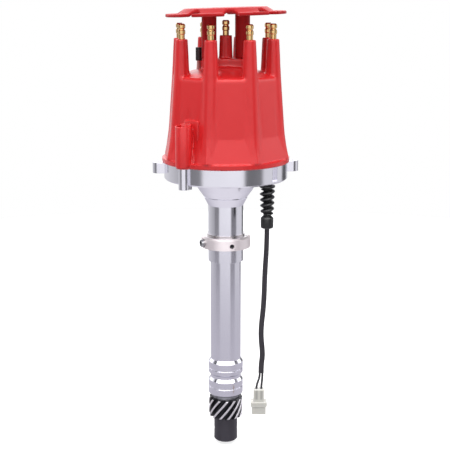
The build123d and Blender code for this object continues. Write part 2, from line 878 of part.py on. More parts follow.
for side, turn in (("left", 0), ("right", 180)):
    with BuildPart() as advance_weight:
        with BuildSketch(Plane.XY.offset(weight_bottom)):
            toe_root = polar(weight_inner_r, turn + weight_toe_start)
            toe_tip = polar(weight_toe_r, turn + weight_toe_end)
            toe_heel = polar(weight_toe_r, turn - weight_heel_angle)
            boss_heel = polar(pivot_r, turn - weight_heel_angle)
            back = polar(weight_outer_r, turn + weight_heel_angle)
            tail_out = polar(weight_outer_r, turn + weight_end_angle)
            tail_in = polar(weight_inner_r, turn + weight_end_angle)
            with BuildLine():
                Polyline(toe_root, toe_tip, toe_heel, boss_heel, back)
                CenterArc(
                    (0, 0),
                    weight_outer_r,
                    turn + weight_heel_angle,
                    weight_end_angle - weight_heel_angle,
                )
                Line(tail_out, tail_in)
                CenterArc(
                    (0, 0),
                    weight_inner_r,
                    turn + weight_toe_start,
                    weight_end_angle - weight_toe_start,
                )
            make_face()
            with PolarLocations(pivot_r, 1, turn):
                Circle(pivot_boss_r)
                Circle(pivot_pin_r + running_fit, mode=Mode.SUBTRACT)
        extrude(amount=weight_h)
    advance_weight.part.label = f"advance_weight_{side}"
    export_step(advance_weight.part, f"parts/advance_weight_{side}.step")

for side, turn in (("left", 0), ("right", 180)):
    pin = polar(pivot_r, turn)
    post = polar(post_centre_r, turn + post_angle)
    reach = hypot(post[0] - pin[0], post[1] - pin[1])
    bearing = degrees(atan2(post[1] - pin[1], post[0] - pin[0]))
    pin_eye_r = pivot_pin_r + running_fit
    post_eye_r = post_r + running_fit
    coil_start = pin_eye_r + spring_eye_w - 0.2
    coil_end = reach - post_eye_r - spring_eye_w + 0.2
    coil_pitch = (coil_end - coil_start) / spring_coils
    with BuildPart() as advance_spring:
        line_plane = Plane(
            origin=(*pin, spring_z),
            x_dir=(*polar(1, bearing), 0),
            z_dir=(-sin(radians(bearing)), cos(radians(bearing)), 0),
        )
        with BuildSketch(line_plane):
            with BuildLine():
                ridges = [(coil_start, 0)]
                for coil in range(spring_coils):
                    start = coil_start + coil * coil_pitch
                    ridges.append((start, spring_r * 0.72))
                    ridges.append((start + coil_pitch / 2, spring_r))
                ridges.append((coil_end, spring_r * 0.72))
                ridges.append((coil_end, 0))
                Polyline(*ridges, close=True)
            make_face()
        revolve(axis=Axis((*pin, spring_z), (*polar(1, bearing), 0)))
        for spot, eye_r in ((pin, pin_eye_r), (post, post_eye_r)):
            with BuildSketch(Plane.XY.offset(spring_z - spring_eye_h / 2)):
                with Locations(spot):
                    Circle(eye_r + spring_eye_w)
                    Circle(eye_r, mode=Mode.SUBTRACT)
            extrude(amount=spring_eye_h)
    advance_spring.part.label = f"advance_spring_{side}"
    export_step(advance_spring.part, f"parts/advance_spring_{side}.step")

# ----------------------------------------------------------------- reluctor and pickup

with BuildPart() as reluctor:
    with BuildSketch(Plane.XY.offset(reluctor_bottom)):
        Circle(reluctor_hub_r)
        with PolarLocations(reluctor_tip_r / 2, reluctor_teeth, pickup_angle):
            Rectangle(reluctor_tip_r, reluctor_tooth_w)
        Circle(sleeve_r, mode=Mode.SUBTRACT)
    extrude(amount=reluctor_h)
reluctor.part.label = "reluctor"
export_step(reluctor.part, "parts/reluctor.step")

pole_start_r = reluctor_tip_r + pickup_air_gap
with BuildPart() as pickup_pole:
    with BuildSketch(radial_plane(pickup_angle, pole_start_r, reluctor_mid)):
        Rectangle(pole_w, pole_h)
    extrude(amount=magnet_start_r - pole_start_r)
pickup_pole.part.label = "pickup_pole"
export_step(pickup_pole.part, "parts/pickup_pole.step")

with BuildPart() as pickup_coil:
    with BuildSketch(radial_plane(pickup_angle, coil_start_r, reluctor_mid)):
        RectangleRounded(coil_size, coil_size, 2)
    extrude(amount=coil_flange)
    with BuildSketch(radial_plane(pickup_angle, coil_start_r + coil_flange, reluctor_mid)):
        RectangleRounded(coil_size - coil_bare, coil_size - coil_bare, 3)
    extrude(amount=coil_length - 2 * coil_flange)
    with BuildSketch(
        radial_plane(pickup_angle, coil_start_r + coil_length - coil_flange, reluctor_mid)
    ):
        RectangleRounded(coil_size, coil_size, 2)
    extrude(amount=coil_flange)
    with BuildSketch(radial_plane(pickup_angle, coil_start_r, reluctor_mid)):
        Rectangle(pole_w, pole_h)
    extrude(amount=coil_length, mode=Mode.SUBTRACT)
pickup_coil.part.label = "pickup_coil"
export_step(pickup_coil.part, "parts/pickup_coil.step")

with BuildPart() as pickup_bracket:
    with BuildSketch(Plane.XY.offset(floor_z)):
        with PolarLocations((bracket_start_r + bracket_end_r) / 2, 1, pickup_angle):
            RectangleRounded(bracket_end_r - bracket_start_r, bracket_w, 2)
        with PolarLocations(0, 1, pickup_angle):
            with Locations(*bracket_screw_spots):
                Circle(bracket_screw_r, mode=Mode.SUBTRACT)
    extrude(amount=bracket_h)
pickup_bracket.part.label = "pickup_bracket"
export_step(pickup_bracket.part, "parts/pickup_bracket.step")

bracket_top = floor_z + bracket_h
magnet_top = reluctor_mid + pole_h / 2 + 1.5
with BuildPart() as pickup_magnet:
    with BuildSketch(Plane.XY.offset(bracket_top)):
        with PolarLocations(magnet_start_r + magnet_length / 2, 1, pickup_angle):
            Rectangle(magnet_length, magnet_w)
    extrude(amount=magnet_top - bracket_top)
pickup_magnet.part.label = "pickup_magnet"
export_step(pickup_magnet.part, "parts/pickup_magnet.step")

with BuildPart() as pickup_screws:
    with BuildSketch(Plane.XY.offset(floor_z - bracket_screw_depth + 0.3)):
        with PolarLocations(0, 1, pickup_angle):
            with Locations(*bracket_screw_spots):
                Circle(bracket_screw_r)
    extrude(amount=bracket_top - floor_z + bracket_screw_depth - 0.3)
    with BuildSketch(Plane.XY.offset(bracket_top)):
        with PolarLocations(0, 1, pickup_angle):
            with Locations(*bracket_screw_spots):
                Circle(bracket_head_r)
    extrude(amount=bracket_head_h)
pickup_screws.part.label = "pickup_screws"
export_step(pickup_screws.part, "parts/pickup_screws.step")

with BuildPart() as pickup_leads:
    coil_end_r = coil_start_r + coil_length
    for offset in (-1.1, 1.1):
        along = Vector(*polar(1, pickup_angle))
        across = Vector(*polar(1, pickup_angle - 90))
        start = along * (coil_end_r - coil_flange / 2) + across * (coil_size / 2)
        bend = start + across * 3
        route = (
            (start.X, start.Y, reluctor_mid - 3 + offset),
            (bend.X, bend.Y, reluctor_mid - 3 + offset),
            (relief_spot[0] + offset, relief_spot[1] + 5, relief_top_z + 5),
            (relief_spot[0] + offset, relief_spot[1], relief_top_z + 3),
            (relief_spot[0] + offset, relief_spot[1], relief_top_z),
        )
        with BuildLine() as lead_line:
            Polyline(*route)
        with BuildSketch(Plane(origin=lead_line.line @ 0, z_dir=lead_line.line % 0)):
            Circle(lead_r)
        sweep(transition=Transition.ROUND)
pickup_leads.part.label = "pickup_leads"
export_step(pickup_leads.part, "parts/pickup_leads.step")

# -------------------------------------------------------------------------------- rotor

foot_h = rotor_bottom_z - plate_top
rotor_hub_top = blade_z
with BuildPart() as rotor_body:
    with BuildSketch(Plane.XY.offset(rotor_bottom_z)):
        Circle(rotor_disc_r)
    extrude(amount=rotor_disc_h)
    with BuildSketch(Plane.XY.offset(plate_top)):
        with PolarLocations(rotor_foot_centre_r, 2, rotor_foot_angle):
            Circle(rotor_foot_r)
    extrude(amount=foot_h)
    with BuildSketch(Plane.XY.offset(rotor_bottom_z)):
        Circle(rotor_hub_r)
        with PolarLocations((blade_tip_r - rotor_arm_gap) / 2, 1, rotor_angle):
            Rectangle(blade_tip_r - rotor_arm_gap, rotor_arm_w)
    extrude(amount=rotor_hub_top - rotor_bottom_z)
    # low walls beside the blade
    with BuildSketch(Plane.XY.offset(rotor_hub_top)):
        with PolarLocations((blade_tip_r - rotor_wall_gap) / 2 + contact_pad_r, 1, rotor_angle):
            Rectangle(blade_tip_r - rotor_wall_gap, rotor_arm_w)
            Rectangle(blade_tip_r, blade_w + 2 * face_gap, mode=Mode.SUBTRACT)
    extrude(amount=blade_h)
    # the hub is hollow over the end of the shaft
    with BuildSketch(Plane.XY.offset(rotor_bottom_z)):
        Circle(rotor_hub_r - rotor_hub_wall)
    extrude(amount=rotor_hub_top - rotor_bottom_z - rotor_hub_roof, mode=Mode.SUBTRACT)
    with BuildSketch(Plane.XY.offset(plate_top)):
        with PolarLocations(rotor_foot_centre_r, 2, rotor_foot_angle):
            Circle(rotor_screw_r)
    extrude(amount=foot_h + rotor_disc_h, mode=Mode.SUBTRACT)
rotor_body.part.label = "rotor_body"
export_step(rotor_body.part, "parts/rotor_body.step")

with BuildPart() as rotor_blade:
    with BuildSketch(Plane.XY.offset(blade_z)):
        with PolarLocations((blade_tip_r - blade_tail_r) / 2, 1, rotor_angle):
            Rectangle(blade_tip_r + blade_tail_r, blade_w)
        Circle(blade_tip_r, mode=Mode.INTERSECT)
    extrude(amount=blade_h)
rotor_blade.part.label = "rotor_blade"
export_step(rotor_blade.part, "parts/rotor_blade.step")

contact_base = blade_z + blade_h
with BuildPart() as rotor_contact_spring:
    contact_plane = Plane(
        origin=(0, 0, contact_base),
        x_dir=(*polar(1, rotor_angle), 0),
        z_dir=(*polar(1, rotor_angle - 90), 0),
    )
    with BuildSketch(contact_plane):
        with BuildLine():
            Polyline(
                (contact_foot_r, 0),
                (contact_foot_r, contact_h),
                (contact_bend_r, contact_h),
                (contact_pad_r, contact_rise),
                (-contact_pad_r, contact_rise),
                (-contact_pad_r, contact_rise - contact_h),
                (contact_pad_r - contact_h / 2, contact_rise - contact_h),
                (contact_bend_r - contact_h / 2, 0),
                close=True,
            )
        make_face()
    extrude(amount=contact_w / 2, both=True)
rotor_contact_spring.part.label = "rotor_contact_spring"
export_step(rotor_contact_spring.part, "parts/rotor_contact_spring.step")

disc_top = rotor_bottom_z + rotor_disc_h
with BuildPart() as rotor_screws:
    with BuildSketch(Plane.XY.offset(plate_bottom)):
        with PolarLocations(rotor_foot_centre_r, 2, rotor_foot_angle):
            Circle(rotor_screw_r)
    extrude(amount=disc_top - plate_bottom)
    with BuildSketch(Plane.XY.offset(disc_top)):
        with PolarLocations(rotor_foot_centre_r, 2, rotor_foot_angle):
            Circle(rotor_head_r)
    extrude(amount=rotor_head_h)
rotor_screws.part.label = "rotor_screws"
export_step(rotor_screws.part, "parts/rotor_screws.step")

# ---------------------------------------------------------------------------------- cap

with BuildPart() as tower:
    for height, centre, radius in (
        (tower_top_z, tower_centre_r, tower_top_r),
        (cap_shoulder_z, tower_centre_r + 0.2, tower_shoulder_r),
        (rib_waist_z, rib_waist_centre_r, rib_r),
        (band_top, rib_foot_centre_r, rib_r),
    ):
        with BuildSketch(Plane.XY.offset(height)):
            with Locations((centre, 0)):
                Circle(radius)
    loft(ruled=True)

with BuildPart() as electrode_room:
    with BuildSketch(Plane.XY.offset(electrode_bottom)):
        with Locations(((electrode_tip_r + tower_centre_r) / 2, 0)):
            Rectangle(tower_centre_r - electrode_tip_r, electrode_w)
        with Locations((tower_centre_r, 0)):
            Circle(electrode_w / 2)
    extrude(amount=electrode_h)
    with BuildSketch(Plane.XY.offset(electrode_bottom)):
        with Locations((tower_centre_r, 0)):
            Circle(terminal_stem_r)
    extrude(amount=tower_top_z - electrode_bottom)

def cap_octagon(height, flat_r):
    """The cap's eight-sided section at this height, with a corner behind each tower."""
    with BuildSketch(Plane.XY.offset(height)) as section:
        RegularPolygon(flat_r, cap_towers, major_radius=False, rotation=tower_first_angle)
    return section.sketch


with BuildPart() as cap_walls:
    # flat panels from the waist up to a rounded shoulder
    add(cap_octagon(rib_waist_z, cap_flat_top_r))
    add(cap_octagon(cap_shoulder_z, cap_shoulder_r))
    loft(ruled=True)
    fillet(cap_walls.edges().group_by(Axis.Z)[-1], cap_shoulder_round)

with BuildPart() as cap_flare:
    # the same panels flare out below the waist, inside the round skirt
    add(cap_octagon(band_top, cap_flat_bottom_r))
    add(cap_octagon(rib_waist_z, cap_flat_top_r))
    loft(ruled=True)
    with BuildSketch(Plane.XZ):
        with BuildLine():
            Polyline(
                (0, band_top),
                (cap_skirt_r, band_top),
                (rib_waist_centre_r + rib_r, rib_waist_z),
                (0, rib_waist_z),
                close=True,
            )
        make_face()
    revolve(axis=Axis.Z, mode=Mode.INTERSECT)

dome_side_r = cap_shoulder_r - cap_shoulder_round
dome_rise = cap_dome_z - cap_shoulder_z
dome_r = (dome_side_r**2 + dome_rise**2) / (2 * dome_rise)
with BuildPart() as distributor_cap:
    with BuildSketch(Plane.XZ):
        with BuildLine():
            Polyline(
                (0, cap_dome_z),
                (0, cap_bottom),
                (cap_skirt_r, cap_bottom),
                (cap_skirt_r, band_top),
                (dome_side_r, band_top),
                (dome_side_r, cap_shoulder_z),
            )
            RadiusArc((dome_side_r, cap_shoulder_z), (0, cap_dome_z), -dome_r)
        make_face()
    revolve(axis=Axis.Z)
    add(cap_walls.part)
    add(cap_flare.part)
    with PolarLocations(0, cap_towers, tower_first_angle):
        add(tower.part)
    # raised block under the centre tower and the retainer's pillars
    with BuildSketch(Plane.XY.offset(cap_cavity_top)):
        RectangleRounded(block_length, block_width, block_round)
    extrude(amount=block_top_z - cap_cavity_top)
    with BuildSketch(Plane.XY.offset(cap_shoulder_z)):
        Circle(centre_tower_foot_r)
    with BuildSketch(Plane.XY.offset(centre_tower_top_z)):
        Circle(centre_tower_top_r)
    loft(ruled=True)
    # columns for the hold-down screws, each joined to the wall by a web
    with BuildSketch(Plane.XY.offset(cap_bottom)):
        with PolarLocations((cap_screw_r + cap_shoulder_r) / 2, 2, cap_screw_angle):
            Rectangle(cap_screw_r - cap_shoulder_r, column_web_w)
    extrude(amount=column_web_top_z - cap_bottom)
    with BuildSketch(Plane.XY.offset(cap_bottom)):
        with PolarLocations(cap_screw_r, 2, cap_screw_angle):
            Circle(column_r)
    extrude(amount=column_top_z - cap_bottom)
    with BuildSketch(Plane.XY.offset(column_top_z)):
        with PolarLocations(cap_screw_r, 2, cap_screw_angle):
            Circle(column_r)
    extrude(amount=column_web_top_z - column_top_z, mode=Mode.SUBTRACT)
    with BuildSketch(Plane.XY.offset(column_seat_z)):
        with PolarLocations(cap_screw_r, 2, cap_screw_angle):
            Circle(column_well_r)
    extrude(amount=column_top_z - column_seat_z, mode=Mode.SUBTRACT)
    with BuildSketch(Plane.XY.offset(cap_bottom)):
        with PolarLocations(cap_screw_r, 2, cap_screw_angle):
            Circle(cap_screw_hole_r)
    extrude(amount=column_seat_z - cap_bottom, mode=Mode.SUBTRACT)
    # the hollow
    cap_mouth_r = rim_inner_r + register_lip_w + cap_mouth_gap
    cavity_waist_r = cap_flat_top_r - cap_wall
    cavity_top_r = cap_shoulder_r - cap_wall
    with BuildSketch(Plane.XZ):
        with BuildLine():
            Polyline(
                (0, cap_bottom),
                (cap_mouth_r, cap_bottom),
                (cap_mouth_r, cap_bottom + cap_mouth_h),
                (cavity_waist_r, rib_waist_z),
                (cavity_top_r, cap_cavity_top - 3),
                (cavity_top_r - 3, cap_cavity_top),
                (0, cap_cavity_dome),
                close=True,
            )
        make_face()
    revolve(axis=Axis.Z, mode=Mode.SUBTRACT)
    # boss that guides the carbon button
    with BuildSketch(Plane.XY.offset(boss_bottom_z)):
        Circle(boss_r)
    extrude(amount=cap_cavity_dome - boss_bottom_z)
    with BuildSketch(Plane.XY.offset(boss_bottom_z)):
        Circle(button_bore_r)
    extrude(amount=button_bore_top_z - boss_bottom_z, mode=Mode.SUBTRACT)
    with BuildSketch(Plane.XY.offset(button_bore_top_z)):
        Circle(terminal_stem_r)
    extrude(amount=centre_tower_top_z - button_bore_top_z, mode=Mode.SUBTRACT)
    with PolarLocations(0, cap_towers, tower_first_angle):
        add(electrode_room.part, mode=Mode.SUBTRACT)
    # threads for the retainer's screws, and the vent's hole
    with BuildSketch(Plane.XY.offset(retainer_screw_bottom)):
        with Locations((-pillar_x, 0), (pillar_x, 0)):
            Circle(retainer_screw_r)
    extrude(amount=block_top_z - retainer_screw_bottom, mode=Mode.SUBTRACT)
    with BuildSketch(Plane.XY.offset(cap_cavity_top)):
        with Locations(vent_spot):
            Circle(vent_stem_r)
    extrude(amount=cap_dome_z - cap_cavity_top, mode=Mode.SUBTRACT)
distributor_cap.part.label = "distributor_cap"
export_step(distributor_cap.part, "parts/distributor_cap.step")


def terminal_points(base_z):
    """Half the outline of a spark plug terminal that stands on this height."""
    return [(r, base_z + h) for r, h in terminal_outline] + [(0, base_z + terminal_h)]


with BuildPart() as terminal:
    with BuildSketch(Plane.XZ):
        with BuildLine():
            Polyline((0, tower_top_z), *terminal_points(tower_top_z), close=True)
        make_face()
    revolve(axis=Axis.Z)

with BuildPart() as plug_terminals:
    with PolarLocations(0, cap_towers, tower_first_angle):
        add(electrode_room.part)
    with PolarLocations(tower_centre_r, cap_towers, tower_first_angle):
        add(terminal.part)
plug_terminals.part.label = "plug_terminals"
export_step(plug_terminals.part, "parts/plug_terminals.step")

with BuildPart() as coil_terminal:
    with BuildSketch(Plane.XY.offset(button_bore_top_z)):
        Circle(terminal_stem_r)
    extrude(amount=centre_tower_top_z - button_bore_top_z)
    with BuildSketch(Plane.XZ):
        with BuildLine():
            Polyline(
                (0, centre_tower_top_z), *terminal_points(centre_tower_top_z), close=True
            )
        make_face()
    revolve(axis=Axis.Z)
coil_terminal.part.label = "coil_terminal"
export_step(coil_terminal.part, "parts/coil_terminal.step")

with BuildPart() as carbon_button:
    with BuildSketch(Plane.XY.offset(button_bottom_z)):
        Circle(button_r)
    extrude(amount=button_h)
    fillet(carbon_button.edges().group_by(Axis.Z)[0], 1)
carbon_button.part.label = "carbon_button"
export_step(carbon_button.part, "parts/carbon_button.step")

with BuildPart() as button_spring:
    spring_length = button_bore_top_z - button_top_z
    pitch = spring_length / button_spring_coils
    with BuildSketch(Plane.XZ):
        with BuildLine():
            outside = []
            for coil in range(button_spring_coils):
                outside.append((button_spring_r - 0.35, button_top_z + coil * pitch))
                outside.append((button_spring_r, button_top_z + (coil + 0.5) * pitch))
            outside.append((button_spring_r - 0.35, button_bore_top_z))
            Polyline(
                (button_spring_r - 0.8, button_top_z),
                *outside,
                (button_spring_r - 0.8, button_bore_top_z),
                close=True,
            )
        make_face()
    revolve(axis=Axis.Z)
button_spring.part.label = "button_spring"
export_step(button_spring.part, "parts/button_spring.step")

with BuildPart() as cap_screws:
    with BuildSketch(Plane.XY.offset(column_seat_z)):
        with PolarLocations(cap_screw_r, 2, cap_screw_angle):
            Circle(cap_screw_head_r)
    extrude(amount=cap_screw_head_h)
    with BuildSketch(Plane.XY.offset(rim_top - cap_screw_grip)):
        with PolarLocations(cap_screw_r, 2, cap_screw_angle):
            Circle(cap_screw_shank_r)
    extrude(amount=column_seat_z - rim_top + cap_screw_grip)
    with BuildSketch(Plane.XY.offset(column_seat_z + cap_screw_head_h)):
        with PolarLocations(cap_screw_r, 2, cap_screw_angle):
            Rectangle(2 * cap_screw_head_r, 1.2)
    extrude(amount=-1.4, mode=Mode.SUBTRACT)
cap_screws.part.label = "cap_screws"
export_step(cap_screws.part, "parts/cap_screws.step")

# ------------------------------------------------------------------- retainer and vent

head_seat_z = plateau_top_z - retainer_head_h
with BuildPart() as retainer_plate:
    with BuildSketch(Plane.XZ):
        with BuildLine():
            Polyline(
                (0, plateau_top_z - retainer_h),
                (plateau_r - 1, plateau_top_z - retainer_h),
                (plateau_foot_r - 1, retainer_z),
                (retainer_r, retainer_z),
                (retainer_r, retainer_z + retainer_h),
                (plateau_foot_r, retainer_z + retainer_h),
                (plateau_r, plateau_top_z),
                (0, plateau_top_z),
                close=True,
            )
        make_face()
    revolve(axis=Axis.Z)
    # the notches that hold the plug wires, between the towers
    notch_centre_r = retainer_r - retainer_notch_depth + retainer_notch_r
    with BuildSketch(Plane.XY.offset(retainer_z)):
        with PolarLocations(notch_centre_r, cap_towers, flat_angle):
            Circle(retainer_notch_r)
        with PolarLocations(notch_centre_r + retainer_r / 4, cap_towers, flat_angle):
            Rectangle(retainer_r / 2, 2 * retainer_notch_r)
    extrude(amount=plateau_top_z - retainer_z, mode=Mode.SUBTRACT)

with BuildPart() as wire_retainer:
    # the plate sits a little crooked on its pillars
    add(retainer_plate.part.rotate(Axis((0, 0, retainer_z), (0, 1, 0)), -retainer_tilt))
    with BuildSketch(Plane.XY.offset(block_top_z)):
        with Locations((-pillar_x, 0), (pillar_x, 0)):
            Circle(pillar_r)
    extrude(amount=plateau_top_z - retainer_h / 2 - block_top_z)
    with BuildSketch(Plane.XY.offset(block_top_z)):
        with Locations((-pillar_x, 0), (pillar_x, 0)):
            Circle(retainer_screw_hole_r)
    extrude(amount=plateau_top_z - block_top_z, mode=Mode.SUBTRACT)
    with BuildSketch(Plane.XY.offset(head_seat_z)):
        with Locations((-pillar_x, 0), (pillar_x, 0)):
            Circle(retainer_head_r + retainer_head_gap)
    extrude(amount=2 * retainer_head_h, mode=Mode.SUBTRACT)
wire_retainer.part.label = "wire_retainer"
export_step(wire_retainer.part, "parts/wire_retainer.step")

with BuildPart() as retainer_screws:
    with BuildSketch(Plane.XY.offset(retainer_screw_bottom)):
        with Locations((-pillar_x, 0), (pillar_x, 0)):
            Circle(retainer_screw_r)
    extrude(amount=head_seat_z - retainer_screw_bottom)
    with BuildSketch(Plane.XY.offset(head_seat_z)):
        with Locations((-pillar_x, 0), (pillar_x, 0)):
            Circle(retainer_head_r)
    extrude(amount=retainer_head_h - 0.4)
    with BuildSketch(Plane.XY.offset(plateau_top_z)):
        with Locations((-pillar_x, 0), (pillar_x, 0)):
            RegularPolygon(2, 6, major_radius=False)
    extrude(amount=-2, mode=Mode.SUBTRACT)
retainer_screws.part.label = "retainer_screws"
export_step(retainer_screws.part, "parts/retainer_screws.step")

with BuildPart() as vent_stem:
    with BuildSketch(Plane.XY.offset(vent_foot_z)):
        with Locations(vent_spot):
            Circle(vent_stem_r)
    extrude(amount=vent_bottom_z - vent_foot_z)
vent_stem.part.label = "vent_stem"
export_step(vent_stem.part, "parts/vent_stem.step")

with BuildPart() as vent_filter:
    with BuildSketch(Plane.XY.offset(vent_bottom_z)):
        with Locations(vent_spot):
            Circle(vent_r)
    extrude(amount=vent_top_z - vent_bottom_z)
    fillet(vent_filter.edges().group_by(Axis.Z)[-1], 0.6)
vent_filter.part.label = "vent_filter"
export_step(vent_filter.part, "parts/vent_filter.step")

# ------------------------------------------------------- strain relief, cable and plug

rib_pitch = (relief_rib_top_z - relief_rib_bottom_z) / (relief_ribs - 1)
with BuildPart() as strain_relief:
    with BuildSketch(Plane.XY.offset(floor_z)):
        with Locations(relief_spot):
            Circle(relief_head_r)
    extrude(amount=relief_top_z - floor_z)
    with BuildSketch(Plane.XY.offset(rim_bottom)):
        with Locations(relief_spot):
            Circle(relief_hole_r)
    extrude(amount=floor_z - rim_bottom)
    with BuildSketch(Plane.XY.offset(rim_bottom)):
        with Locations(relief_spot):
            Circle(relief_flange_r)
    extrude(amount=-relief_flange_h)
    with BuildSketch(Plane.XY.offset(relief_bottom_z)):
        with Locations(relief_spot):
            Circle(relief_core_r)
    extrude(amount=rim_bottom - relief_bottom_z)
    with BuildSketch(Plane.XY.offset(relief_bottom_z)):
        with Locations(relief_spot):
            Circle(relief_cuff_r)
    extrude(amount=relief_cuff_top_z - relief_bottom_z)
    # ribs that slope like the turns of a spiral, so that the rubber can bend
    for rib in range(relief_ribs):
        rib_share = rib / (relief_ribs - 1)
        relief_rib_r = relief_rib_bottom_r + (relief_rib_top_r - relief_rib_bottom_r) * rib_share
        rib_plane = Plane(
            origin=(*relief_spot, relief_rib_bottom_z + rib * rib_pitch),
            z_dir=(-sin(radians(relief_rib_slope)), 0, cos(radians(relief_rib_slope))),
        )
        with BuildSketch(rib_plane):
            Circle(relief_rib_r)
        extrude(amount=relief_rib_h / 2, both=True, taper=relief_rib_taper)
strain_relief.part.label = "strain_relief"
export_step(strain_relief.part, "parts/strain_relief.step")

cable_radii = route_radii(cable_route)
print("cable radii", [round(radius, 1) for radius in cable_radii])
with BuildPart() as pickup_cable:
    with BuildLine() as cable_line:
        FilletPolyline(*cable_route, radius=cable_radii)
    with BuildSketch(Plane(origin=cable_line.line @ 0, z_dir=cable_line.line % 0)):
        Circle(cable_tube_r)
    sweep()
pickup_cable.part.label = "pickup_cable"
export_step(pickup_cable.part, "parts/pickup_cable.step")
cable_length = sum(run.length for run in cable_line.edges())
cable_share = pickup_cable.part.volume / (pi * cable_tube_r**2 * cable_length)
print("cable length", round(cable_length, 2), "volume share", round(cable_share, 4))

with BuildPart() as plug_wires:
    for wire_route in (left_wire_route, right_wire_route):
        with BuildLine() as wire_line:
            FilletPolyline(*wire_route, radius=route_radii(wire_route))
        with BuildSketch(Plane(origin=wire_line.line @ 0, z_dir=wire_line.line % 0)):
            Circle(wire_r)
        sweep()
plug_wires.part.label = "plug_wires"
export_step(plug_wires.part, "parts/plug_wires.step")

with BuildPart() as plug_housing:
    with BuildSketch(Plane.XY.offset(plug_flange_top_z)):
        with Locations(plug_spot):
            RectangleRounded(plug_neck_w, plug_depth, 1)
    extrude(amount=plug_top_z - plug_flange_top_z)
    with BuildSketch(Plane.XY.offset(plug_body_top_z)):
        with Locations(plug_spot):
            RectangleRounded(plug_flange_w, plug_flange_depth, 1.5)
    extrude(amount=plug_flange_top_z - plug_body_top_z)
    with BuildSketch(Plane.XY.offset(plug_bottom_z)):
        with Locations(plug_spot):
            RectangleRounded(plug_body_w, plug_flange_depth - 1, 1.2)
    extrude(amount=plug_body_top_z - plug_bottom_z)
    with BuildSketch(Plane.XY.offset(plug_bottom_z)):
        with Locations(plug_spot):
            RectangleRounded(plug_mouth_w, plug_mouth_depth, 0.8)
    extrude(amount=plug_mouth_h, mode=Mode.SUBTRACT)
plug_housing.part.label = "plug_housing"
export_step(plug_housing.part, "parts/plug_housing.step")

with BuildPart() as plug_pins:
    with BuildSketch(Plane.XY.offset(plug_bottom_z + plug_mouth_h)):
        with Locations(
            (plug_spot[0] - plug_pin_x, plug_spot[1]), (plug_spot[0] + plug_pin_x, plug_spot[1])
        ):
            Circle(plug_pin_r)
    extrude(amount=-plug_pin_h)
plug_pins.part.label = "plug_pins"
export_step(plug_pins.part, "parts/plug_pins.step")
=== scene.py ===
import json
import math

import bmesh
import bpy
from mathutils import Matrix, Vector


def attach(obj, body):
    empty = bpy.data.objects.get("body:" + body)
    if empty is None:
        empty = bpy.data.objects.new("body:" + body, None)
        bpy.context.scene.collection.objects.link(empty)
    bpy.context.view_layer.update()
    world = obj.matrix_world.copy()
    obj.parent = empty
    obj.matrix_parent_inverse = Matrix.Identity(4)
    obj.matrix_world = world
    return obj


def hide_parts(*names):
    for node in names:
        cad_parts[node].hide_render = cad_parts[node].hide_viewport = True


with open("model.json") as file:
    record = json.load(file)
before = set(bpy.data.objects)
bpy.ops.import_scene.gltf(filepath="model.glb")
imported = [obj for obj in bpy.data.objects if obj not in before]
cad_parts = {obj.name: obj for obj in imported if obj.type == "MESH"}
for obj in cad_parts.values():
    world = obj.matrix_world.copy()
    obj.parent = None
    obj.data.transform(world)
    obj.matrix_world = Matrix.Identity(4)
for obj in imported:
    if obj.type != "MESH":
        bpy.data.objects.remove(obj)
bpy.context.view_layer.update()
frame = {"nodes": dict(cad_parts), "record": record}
nodes = frame["nodes"]
print("frame loaded:", len(nodes), "nodes")


def newGroup(name, inputs, outputs):
    tree = bpy.data.node_groups.new(name, "ShaderNodeTree")
    kinds = {"value": "NodeSocketFloat", "color": "NodeSocketColor", "vector": "NodeSocketVector"}
    for socketName, kind, default in inputs:
        socket = tree.interface.new_socket(name=socketName, in_out="INPUT", socket_type=kinds[kind])
        socket.default_value = default
    for socketName, kind in outputs:
        tree.interface.new_socket(name=socketName, in_out="OUTPUT", socket_type=kinds[kind])
    return tree, tree.nodes.new("NodeGroupInput"), tree.nodes.new("NodeGroupOutput")


def mathNode(tree, operation, first, second=None, third=None):
    node = tree.nodes.new("ShaderNodeMath")
    node.operation = operation
    for slot, value in enumerate((first, second, third)):
        if value is None:
            continue
        if isinstance(value, (int, float)):
            node.inputs[slot].default_value = value
        else:
            tree.links.new(value, node.inputs[slot])
    return node.outputs[0]


def noiseNode(tree, vector, scale, detail=3.0, roughness=0.55):
    node = tree.nodes.new("ShaderNodeTexNoise")
    node.inputs["Detail"].default_value = detail
    node.inputs["Roughness"].default_value = roughness
    tree.links.new(vector, node.inputs["Vector"])
    if isinstance(scale, (int, float)):
        node.inputs["Scale"].default_value = scale
    else:
        tree.links.new(scale, node.inputs["Scale"])
    return node.outputs["Fac"]


def rangeNode(tree, value, edges, kind="LINEAR"):
    # 0 at the first edge and 1 at the second
    node = tree.nodes.new("ShaderNodeMapRange")
    node.interpolation_type = kind
    tree.links.new(value, node.inputs["Value"])
    node.inputs["From Min"].default_value, node.inputs["From Max"].default_value = edges
    return node


def objectPoint(tree):
    return tree.nodes.new("ShaderNodeTexCoord").outputs["Object"]


def heightAndRadius(tree):
    # height along the shaft's axis, and distance from it
    split = tree.nodes.new("ShaderNodeSeparateXYZ")
    tree.links.new(objectPoint(tree), split.inputs[0])
    squareX = mathNode(tree, "MULTIPLY", split.outputs[0], split.outputs[0])
    squares = mathNode(tree, "MULTIPLY_ADD", split.outputs[1], split.outputs[1], squareX)
    return split.outputs[2], mathNode(tree, "SQRT", squares)


